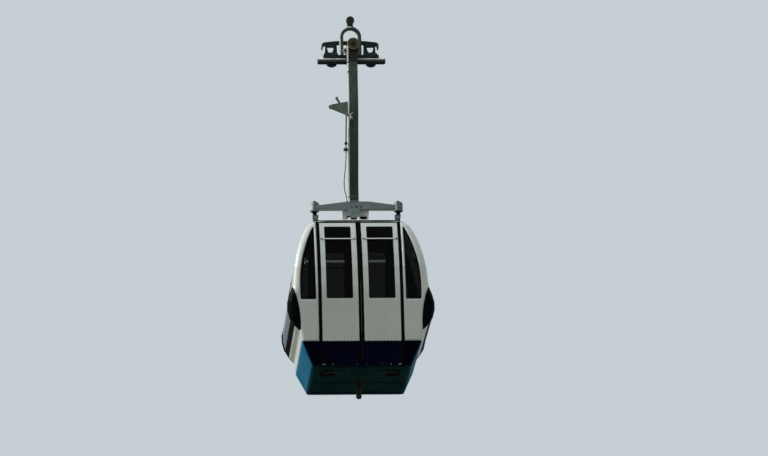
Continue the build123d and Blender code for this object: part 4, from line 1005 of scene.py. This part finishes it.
class GONDOLA_OT_underside(bpy.types.Operator):
    """Finish the floor pan and guide pin with their screws, pads and drip rails"""

    bl_idname = "gondola.underside"
    bl_label = "Underside"

    def execute(self, context):
        paint_nodes("floor", "floor_pan")
        paint_nodes("brown", "guide_pin")
        self.guide_bolts()
        self.keel_screws()
        self.pads()
        return {"FINISHED"}

    def guide_bolts(self):
        """Bolts round the guide pin's flange and a shoe on its tip."""
        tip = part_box("guide_pin")[0].z
        bolts = bmesh.new()
        for x, y in circle_points(6, 0.059, 0.5):
            hex_head(bolts, (x, y, up(-0.0165)), BELOW, 0.013)
        ring(bolts, (0, 0, tip + 0.030), ABOVE, 0.037, 0.0425, 0.016)
        make_piece("guide_bolts", bolts, "steel")

    def keel_screws(self):
        """Two rows of screws along the keel."""
        heads = [
            ((x, y, up(-0.014)), BELOW, 0.006)
            for x in (-0.032, 0.032) for y in steps_between(-0.72, -0.12, 6)
        ]
        make_heads("keel_screws", heads, "floor", kind=dome_head)

    def pads(self):
        """Ribbed rubber on the pads that the cabin stands on, and drip rails across the pan."""
        ribs = [(side * 0.46, y, up(-0.008)) for _, side in SIDES for y in steps_between(-0.52, -0.28, 7)]
        rails = [(0, y, up(-0.004)) for y in (0.12, 0.66)]
        make_blocks("standing_pads", ribs, (0.20, 0.026, 0.006), 0.002, "seal")
        make_blocks("drip_rails", rails, (1.24, 0.020, 0.010), 0.003, "floor")


class GONDOLA_OT_roof(bpy.types.Operator):
    """Finish the roof box with its lid, ribs and screws, and fit the small vents"""

    bl_idname = "gondola.roof"
    bl_label = "Roof gear"

    def execute(self, context):
        paint_nodes("box", "roof_box")
        low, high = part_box("roof_box")
        self.lid(low, high)
        self.front(low, high)
        self.vents()
        return {"FINISHED"}

    def lid(self, low, high):
        """Lid with a soft edge, corner screws and a row of screws on the front."""
        middle = ((low.x + high.x) / 2, (low.y + high.y) / 2, high.z - 0.004)
        size = (high.x - low.x + 0.010, high.y - low.y + 0.010, 0.020)
        screws = [
            ((x, y, high.z + 0.006), ABOVE, 0.007)
            for x in (low.x + 0.018, high.x - 0.018) for y in (low.y + 0.018, high.y - 0.018)
        ]
        screws += [((x, low.y, high.z - 0.040), NEAR, 0.005) for x in steps_between(low.x + 0.020, 0.060, 3)]
        make_blocks("box_lid", [middle], size, 0.006, "box")
        make_heads("box_screws", screws, "zinc", kind=dome_head)

    def front(self, low, high):
        """Pale upright ribs on the box's front, and a black strip of painted shadow across their foot."""
        foot, ribs_top, shadow_top = up(RIBS_FOOT), high.z - 0.022, up(SHADOW_TOP)
        ribs = [(x, low.y - 0.001, (foot + ribs_top) / 2) for x in (0.106, 0.132, 0.158)]
        shadow_strip = (0.120, low.y - 0.004, (foot + shadow_top) / 2)
        make_blocks("box_ribs", ribs, (0.009, 0.008, ribs_top - foot), 0.003, "pale")
        # Painted shadow: the black strip stands where the box's foot lies in shade.
        make_blocks("box_foot_shadow", [shadow_strip], (0.114, 0.016, shadow_top - foot), 0.004, "seal")

    def vents(self):
        """Two small domed vents in front of the box."""
        profile = [(0, -0.006), (0.024, -0.006), (0.024, 0.016), (0.020, 0.026), (0.010, 0.031), (0, 0.032)]
        vents = bmesh.new()
        for x in (-0.105, 0.030):
            place, _ = on_skin("roof_shell", (x, -0.400, up(2.6)), BELOW)
            lathe(vents, profile, facing(place, ABOVE))
        make_piece("roof_vents", vents, "pale")


class GONDOLA_OT_crossbeam(bpy.types.Operator):
    """Finish the crossbeam, dampers and brackets with their bolts and welds"""

    bl_idname = "gondola.crossbeam"
    bl_label = "Crossbeam and dampers"

    def execute(self, context):
        paint_nodes("beam", "crossbeam")
        paint_nodes("cup", "damper_cups")
        paint_nodes("seal", "damper_rubbers")
        paint_nodes("steel", "damper_brackets")
        self.beam_bolts()
        make_weld("beam_weld", 0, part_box("crossbeam")[1].z + 0.002, 0.002, 0.054, "beam")
        self.tab_gap_shadow()
        low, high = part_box("damper_cups")
        radius = (high.y - low.y) / 2
        for (name, side), x in zip(SIDES, (low.x + radius, high.x - radius)):
            self.damper(name, x, low.z, high.z, radius)
            self.bracket_bolts(name, x - side * 0.010, x - side * 0.042)
        return {"FINISHED"}

    def beam_bolts(self):
        """Dark bolts on both faces of the beam under the hanger."""
        heads = [
            ((x, face_y, up(2.562)), axis, size) for face_y, axis in faces_of("crossbeam")
            for x, size in ((-0.044, 0.014), (0.023, 0.022), (0.086, 0.014))
        ]
        make_heads("beam_bolts", heads, "grip")

    def tab_gap_shadow(self):
        """Black rubber block between the beam's tab and the roof that stands in for the shade in the gap
        there (painted shadow), with a stud and guide rod.
        """
        beam_low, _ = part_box("crossbeam")
        foot, y = beam_low.z, beam_low.y + 0.018
        roof_z = on_skin("roof_shell", (-0.020, y, up(2.6)), BELOW)[0].z
        gap_shadow, caps = bmesh.new(), bmesh.new()
        for x, width, top in ((-0.022, 0.150, foot + 0.003), (-0.096, 0.040, foot + 0.032)):
            block(gap_shadow, (x, y, (roof_z + top) / 2), (width, 0.048, top - roof_z), 0.005)
        dome_head(caps, (-0.084, y - 0.024, foot), NEAR, 0.010)
        block(caps, (0.058, y - 0.018, foot), (0.008, 0.010, 0.060))
        # Painted shadow: the black block fills the gap under the tab, where shade lies.
        make_piece("tab_gap_shadow", gap_shadow, "seal")
        make_piece("buffer_caps", caps, "pale")

    def damper(self, name, x, foot, top, radius):
        """Nut on the stud with screws round it, and clamp bands round the cup."""
        nuts, bands = bmesh.new(), bmesh.new()
        hex_head(nuts, (x, 0, top + 0.014), ABOVE, 0.034)
        for step_x, y in circle_points(6, 0.035, 0.5):
            dome_head(nuts, (x + step_x, y, top + 0.014), ABOVE, 0.005)
        for height in (foot + 0.016, top - 0.030):
            ring(bands, (x, 0, height), ABOVE, radius - 0.001, radius + 0.002, 0.012, 48)
        make_piece(f"{name}_damper_nut", nuts, "black")
        make_piece(f"{name}_damper_bands", bands, "cup")

    def bracket_bolts(self, name, stem_x, foot_x):
        """Bolts on top of the bracket's flange and on the bracket's faces."""
        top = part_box("damper_brackets")[1].z
        heads = [
            ((x, y, top), ABOVE, 0.014) for x in (stem_x - 0.031, stem_x + 0.031) for y in (-0.043, 0.043)
        ]
        for face_y, axis in faces_of("damper_brackets"):
            heads.append(((stem_x, face_y, top - 0.035), axis, 0.024))
            heads += [((x, face_y, up(2.250)), axis, 0.016) for x in (foot_x - 0.026, foot_x + 0.026)]
        make_heads(f"{name}_bracket_bolts", heads, "zinc")


class GONDOLA_OT_hanger(bpy.types.Operator):
    """Finish the hanger's head and tube with their bolts, welds and bands"""

    bl_idname = "gondola.hanger"
    bl_label = "Hanger"

    def execute(self, context):
        paint_nodes("head", "hanger_head")
        paint_nodes("hanger", "hanger_tube")
        low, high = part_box("hanger_head")
        upper_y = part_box("hanger_tube")[0].y + UPPER_RUN_Y
        self.head_bolts(high)
        self.eye_link(low, high)
        make_weld("head_weld", upper_y, low.z - 0.002, 0.001, 0.053, "steel")
        self.tube_bands(upper_y)
        return {"FINISHED"}

    def head_bolts(self, high):
        """Bolts on both faces of the head, and its grease nipple."""
        bolts = bmesh.new()
        for face_y, axis in ((high.y - HEAD_DEPTH, NEAR), (high.y, FAR)):
            for x, z in ((-0.046, 0.005), (-0.054, -0.085), (0.046, 0.005), (0.038, -0.085)):
                hex_head(bolts, (x, face_y, z), axis, 0.016)
        nipple = [
            (0, 0), (0.007, 0), (0.007, 0.006), (0.004, 0.009), (0.004, 0.016), (0.002, 0.019), (0, 0.019),
        ]
        lathe(bolts, nipple, facing((high.x, high.y - HEAD_DEPTH / 2, 0.101), (1, 0, 0)), 12)
        make_piece("head_bolts", bolts, "grip")

    def eye_link(self, low, high):
        """Pin and bush in the eye, and the flat link that hangs from it along the head."""
        eye = Vector((low.x + 0.036, high.y - HEAD_DEPTH / 2, 0.032))
        bush, pin, link = bmesh.new(), bmesh.new(), bmesh.new()
        for hand in (-1, 1):
            ring(bush, eye + Vector((0, hand * 0.008, 0)), (0, hand, 0), 0.018, 0.041, 0.006)
        profile = [(0, 0), (0.0165, 0), (0.0165, 0.040), (0.013, 0.044), (0, 0.044)]
        lathe(pin, profile, facing(eye + Vector((0, 0.022, 0)), NEAR))
        front = eye + Vector((0, -0.018, 0))
        for first, last, width in EYE_LINK:
            top, foot = (front + Vector((x, 0, z)) for x, z in (first, last))
            block(link, (top + foot) / 2, (width, 0.008, (foot - top).length), axis=foot - top)
        dome_head(link, foot + Vector((0, -0.004, 0.014)), NEAR, 0.007)
        block(link, foot + Vector((0, 0.010, 0.014)), (0.018, 0.020, 0.018))
        make_piece("eye_pin", pin, "grip")
        # The eye's bush and link carry a painted highlight on the side facing the key light.
        make_piece("eye_bush", bush, "bleached")
        make_piece("eye_link", link, "bleached")

    def tube_bands(self, upper_y):
        """Bands with a screw round the tube, above and below its bend."""
        low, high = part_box("hanger_tube")
        middle_x = (low.x + high.x) / 2
        bands = bmesh.new()
        for y, height in ((upper_y, -0.300), (0.0, up(2.720))):
            block(bands, (middle_x, y, height), (0.1535, 0.1075, 0.016), TUBE_CORNER * 0.2)
            hex_head(bands, (middle_x + 0.030, y - 0.054, height), NEAR, 0.010)
        make_piece("tube_bands", bands, "steel")


class GONDOLA_OT_control(bpy.types.Operator):
    """Finish the door control: lever, roller, return spring, rods and cable ends"""

    bl_idname = "gondola.control"
    bl_label = "Door control"

    def execute(self, context):
        paint_nodes("plate", "door_lever")
        paint_nodes("grip", "control_rods")
        paint_nodes("seal", "control_cable")
        self.lever_nuts()
        self.return_spring()
        self.cable_ends()
        return {"FINISHED"}

    def lever_nuts(self):
        """Nuts on the roller, on the pivot and on the rods' pin, and two screws in the plate."""
        nuts = bmesh.new()
        hex_head(nuts, (-0.253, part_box("door_lever")[0].y, -0.716), NEAR, 0.016)
        hex_head(nuts, (-0.044, -0.478, -1.014), NEAR, 0.024)
        hex_head(nuts, (CONTROL_X, CONTROL_Y, -0.945), NEAR, 0.018)
        for x, z in ((-0.320, -0.840), (-0.160, -0.800)):
            dome_head(nuts, (x, CONTROL_Y, z), NEAR, 0.008)
        make_piece("lever_nuts", nuts, "zinc")

    def return_spring(self):
        """Coil spring in front of the lever, with its forked hook."""
        top, foot = Vector((-0.068, -0.486, -0.972)), Vector((-0.056, -0.486, -1.020))
        turns, sides = 5, 14
        coil = []
        for step in range(turns * sides + 1):
            angle = 2 * math.pi * step / sides
            swing = Vector((math.cos(angle), math.sin(angle), 0)) * 0.010
            coil.append(top + (foot - top) * step / (turns * sides) + swing)
        hook = top + Vector((0, 0, 0.004))
        fork = [[top + Vector((x, 0.008, z)), hook] for x, z in ((-0.030, 0.034), (0.040, 0.044))]
        make_tubes("return_spring", [coil] + fork, 0.005, "tan")

    def cable_ends(self):
        """Ferrule at the stay, gland on the beam and pins of the yoke."""
        beam_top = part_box("crossbeam")[1].z
        fittings = bmesh.new()
        for place, outer, height in (
            ((CONTROL_X, -0.196, -1.4475), 0.012, 0.034),
            ((*GLAND_PLACE, beam_top), 0.016, 0.016),
            ((*GLAND_PLACE, beam_top + 0.016), 0.011, 0.016),
        ):
            ring(fittings, place, ABOVE, CABLE_RADIUS, outer, height, 20)
        for hand in (-1, 1):
            hex_head(fittings, (CONTROL_X + hand * 0.016, -0.240, -1.318), (hand, 0, 0), 0.014)
            hex_head(fittings, (CONTROL_X + hand * 0.024, -0.225, -1.398), NEAR, 0.012)
        make_piece("cable_fittings", fittings, "zinc")


class GONDOLA_OT_grip(bpy.types.Operator):
    """Finish the rope grip with its nuts, spring housings, lever and plate bolts"""

    bl_idname = "gondola.grip"
    bl_label = "Rope grip"

    def execute(self, context):
        paint_nodes("grip", "grip_body", "moving_jaws", "traction_plate", "plate_brackets", "pivot_pin")
        paint_nodes("arch", "jaw_lever")
        paint_nodes("roller", "lever_roller")
        paint_nodes("sleeve", "fixed_jaw")
        self.shaft_nuts()
        self.housings()
        self.plate_bolts()
        self.roller_fittings()
        self.pin_ends()
        self.jaw_bolts()
        return {"FINISHED"}

    def shaft_nuts(self):
        """Caps on both ends of the jaw shaft."""
        low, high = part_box("moving_jaws")
        heads = [((x, SHAFT_Y, SHAFT_Z), (hand, 0, 0), 0.017) for x, hand in ((low.x, -1), (high.x, 1))]
        make_heads("shaft_nuts", heads, "steel", "opening_lever", dome_head)

    def housings(self):
        """Bands round the spring housings and their setting bolts on the outer lugs."""
        fittings = bmesh.new()
        for (_, side), end in zip(SIDES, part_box("grip_body")):
            for x in (0.212, 0.250, 0.321, 0.359):
                middle = (side * x - 0.005, SPRING_Y, SPRING_Z)
                ring(fittings, middle, (1, 0, 0), 0.0375, 0.0405, 0.010, 36)
            dome_head(fittings, (end.x, SPRING_Y, SPRING_Z), (side, 0, 0), 0.014)
        make_piece("housing_bands", fittings, "grip", "grip")

    def plate_bolts(self):
        """Flush screws on the traction plate and bolts on its brackets."""
        low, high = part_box("traction_plate")
        lines = [
            ((side * x, y, high.z + 0.1), BELOW)
            for _, side in SIDES for x in (0.230, 0.290, 0.345) for y in (low.y + 0.030, high.y - 0.030)
        ]
        heads = [
            ((side * x, face_y, z), axis, 0.016)
            for _, side in SIDES for face_y, axis in faces_of("plate_brackets")
            for x, z in ((0.212, 0.188), (0.358, 0.188), (0.214, 0.325), (0.350, 0.310))
        ]
        make_screws("plate_screws", "traction_plate", lines, "steel", "grip", 0.007)
        make_heads("bracket_bolts", heads, "grip", "grip")

    def roller_fittings(self):
        """Bearing cover of the lever's roller, its pin nut and the pin's head behind the ear."""
        low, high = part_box("lever_roller")
        x, _, z = (low + high) / 2
        ear_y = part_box("jaw_lever")[1].y
        cover = bmesh.new()
        for face_y, axis in faces_of("lever_roller"):
            ring(cover, (x, face_y, z), axis, 0.030, 0.046, 0.0008, 40)
        ring(cover, (x, low.y, z), NEAR, 0.020, 0.034, 0.003, 40)
        nuts = [((x, low.y - 0.004, z), NEAR, 0.024), ((x, ear_y, z), FAR, 0.028)]
        make_piece("roller_cover", cover, "brown", "lever_roller")
        make_heads("roller_nuts", nuts, "grip", "opening_lever")

    def pin_ends(self):
        """Keeper plate with two bolts on each end of the pivot pin."""
        low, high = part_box("pivot_pin")
        middle_z = (low.z + high.z) / 2
        keepers = bmesh.new()
        for end_y, axis in faces_of("pivot_pin"):
            ring(keepers, (0, end_y, middle_z), axis, 0.0, 0.032, 0.005)
            for x in (-0.016, 0.016):
                hex_head(keepers, (x, end_y + axis[1] * 0.005, middle_z), axis, 0.012)
        make_piece("pin_keepers", keepers, "grip", "grip")

    def jaw_bolts(self):
        """Bolts that hold the fixed jaw to the grip's spine."""
        heads = [
            ((side * x, SPINE_Y, 0.060), NEAR, 0.016)
            for _, side in SIDES for x in (0.110, 0.280, 0.148, 0.318)
        ]
        make_heads("jaw_bolts", heads, "grip", "grip")


class GONDOLA_OT_wheels(bpy.types.Operator):
    """Finish both running wheels with their flange rings, bolts and bearing covers"""

    bl_idname = "gondola.wheels"
    bl_label = "Running wheels"

    def execute(self, context):
        paint_nodes("grip", "near_wheel_hub", "far_wheel_hub")
        paint_nodes("tyre", "near_wheel_tyre", "far_wheel_tyre")
        for name, first_face in (("near_wheel", 0), ("far_wheel", 1)):
            low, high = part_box(f"{name}_tyre")
            middle = (low + high) / 2
            flanges, covers = bmesh.new(), bmesh.new()
            for face_y, axis in faces_of(f"{name}_tyre")[first_face:]:
                face, outward = Vector((middle.x, face_y, middle.z)), Vector(axis)
                ring(flanges, face, axis, 0.0535, 0.0700, 0.003, 48)
                ring(covers, face - outward * 0.008, axis, 0.0415, 0.0515, 0.010, 40)
                for x, z in circle_points(8, 0.0615, 0.5):
                    hex_head(flanges, face + outward * 0.003 + Vector((x, 0, z)), axis, 0.009)
            make_piece(f"{name}_flange", flanges, "brown", name)
            make_piece(f"{name}_cover", covers, "tyre", name)
        return {"FINISHED"}


class GONDOLA_OT_stage(bpy.types.Operator):
    """Lay the floor, hang the lights and set up the camera"""

    bl_idname = "gondola.stage"
    bl_label = "Stage"

    def execute(self, context):
        light = context.scene.gondola_light
        place = self.camera(context.scene, context.scene.gondola_camera)
        self.floor(light, place.z - FLOOR_BELOW_CAMERA)
        self.key(light)
        self.world(context.scene, light)
        context.scene.view_settings.view_transform = "Standard"
        return {"FINISHED"}

    def camera(self, scene, view):
        """Camera whose picture shows the aimed point at its mark."""
        turn, climb, roll = view.azimuth, view.elevation, view.roll
        along = Vector((
            math.sin(turn) * math.cos(climb), math.cos(turn) * math.cos(climb), math.sin(climb),
        ))
        level = along.cross(Vector(ABOVE)).normalized()
        upright = level.cross(along)
        right = level * math.cos(roll) + upright * math.sin(roll)
        upward = upright * math.cos(roll) - level * math.sin(roll)
        place = Vector((0, 0, up(view.height))) - along * view.distance
        across = (PHOTO_WIDTH / 2 - view.mark[0]) / view.focal
        down = (PHOTO_HEIGHT / 2 - view.mark[1]) / view.focal
        aim = (along + right * across - upward * down).normalized()
        right = (right - aim * right.dot(aim)).normalized()
        rotation = Matrix((right, aim.cross(right) * -1, aim * -1)).transposed().to_4x4()
        data = bpy.data.cameras.new("camera")
        data.sensor_width = SENSOR_WIDTH
        data.lens = view.focal * SENSOR_WIDTH / PHOTO_WIDTH
        data.clip_end = CAMERA_REACH
        camera = bpy.data.objects.new("camera", data)
        scene.collection.objects.link(camera)
        camera.matrix_world = Matrix.Translation(place) @ rotation
        scene.camera = camera
        return place

    def shown(self, tree, above=1.0):
        """1 for a ray that shows a surface: straight, through a pane, or mirrored by the share above."""
        rays = tree.nodes.new("ShaderNodeLightPath").outputs
        seen = math_of(tree, "MAXIMUM", rays["Is Camera Ray"], rays["Is Transmission Ray"])
        return math_of(tree, "MAXIMUM", seen, math_of(tree, "MULTIPLY", rays["Is Glossy Ray"], above))

    def floor(self, light, height):
        """Plain pale floor under the object."""
        shape = bmesh.new()
        lathe(shape, [(0, height), (FLOOR_RADIUS, height)], Matrix.Identity(4), 96)
        mesh = bpy.data.meshes.new("floor")
        shape.to_mesh(mesh)
        shape.free()
        material, tree, shader = start_material("pale floor")
        dress(tree, shader, mix_of(tree, self.shown(tree), light.below, light.backdrop), 1.0, 0.0)
        mesh.materials.append(material)
        floor = bpy.data.objects.new("floor", mesh)
        bpy.context.scene.collection.objects.link(floor)

    def key(self, light):
        """Broad soft key light."""
        data = bpy.data.lights.new("key", "SUN")
        data.energy = light.sun
        data.angle = KEY_SPREAD
        lamp = bpy.data.objects.new("key", data)
        lamp.rotation_mode = "QUATERNION"
        lamp.rotation_quaternion = Vector(light.sun_from).to_track_quat("Z", "Y")
        bpy.context.scene.collection.objects.link(lamp)

    def world(self, scene, light):
        """Soft light that falls off downwards, and the plain backdrop."""
        world = bpy.data.worlds.new("studio")
        world.use_nodes = True
        scene.world = world
        tree = world.node_tree
        tree.nodes.clear()
        output = tree.nodes.new("ShaderNodeOutputWorld")
        background = tree.nodes.new("ShaderNodeBackground")
        height = axis_of(tree, "Z", "Generated")
        low = mix_of(tree, ramp_of(tree, height, -0.25, 0.0), light.below, light.level)
        soft = mix_of(tree, ramp_of(tree, height, 0.0, 0.5), low, light.above)
        seen = self.shown(tree, ramp_of(tree, height, -0.05, 0.12))
        feed(tree, background.inputs["Color"], mix_of(tree, seen, soft, light.backdrop))
        feed(tree, output.inputs["Surface"], background.outputs["Background"])


class GONDOLA_PT_panel(bpy.types.Panel):
    """Lists the steps of the fit-out"""

    bl_idname = "GONDOLA_PT_panel"
    bl_label = "Gondola"
    bl_space_type = "VIEW_3D"
    bl_region_type = "UI"
    bl_category = "Gondola"

    def draw(self, context):
        for attribute in PROPERTY_GROUPS:
            group = getattr(context.scene, attribute)
            column = self.layout.column(align=True)
            for name in group.__annotations__:
                column.prop(group, name)
        for operator in OPERATORS:
            self.layout.operator(operator.bl_idname)


PROPERTY_GROUPS = {
    "gondola_paint": GondolaPaint,
    "gondola_metal": GondolaMetal,
    "gondola_glass": GondolaGlass,
    "gondola_light": GondolaLight,
    "gondola_camera": GondolaCamera,
}

OPERATORS = (
    GONDOLA_OT_finishes,
    GONDOLA_OT_shell,
    GONDOLA_OT_panes,
    GONDOLA_OT_doors,
    GONDOLA_OT_interior,
    GONDOLA_OT_underside,
    GONDOLA_OT_roof,
    GONDOLA_OT_crossbeam,
    GONDOLA_OT_hanger,
    GONDOLA_OT_control,
    GONDOLA_OT_grip,
    GONDOLA_OT_wheels,
    GONDOLA_OT_stage,
)


def register():
    """Registers the properties, the steps and the panel."""
    for name, group in PROPERTY_GROUPS.items():
        bpy.utils.register_class(group)
        setattr(bpy.types.Scene, name, PointerProperty(type=group))
    for operator in OPERATORS:
        bpy.utils.register_class(operator)
    bpy.utils.register_class(GONDOLA_PT_panel)


def unregister():
    """Takes all of them away again."""
    bpy.utils.unregister_class(GONDOLA_PT_panel)
    for operator in reversed(OPERATORS):
        bpy.utils.unregister_class(operator)
    for name, group in PROPERTY_GROUPS.items():
        delattr(bpy.types.Scene, name)
        bpy.utils.unregister_class(group)


def main():
    """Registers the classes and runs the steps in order."""
    register()
    for operator in OPERATORS:
        family, step = operator.bl_idname.split(".")
        getattr(getattr(bpy.ops, family), step)()


if __name__ == "__main__":
    main()
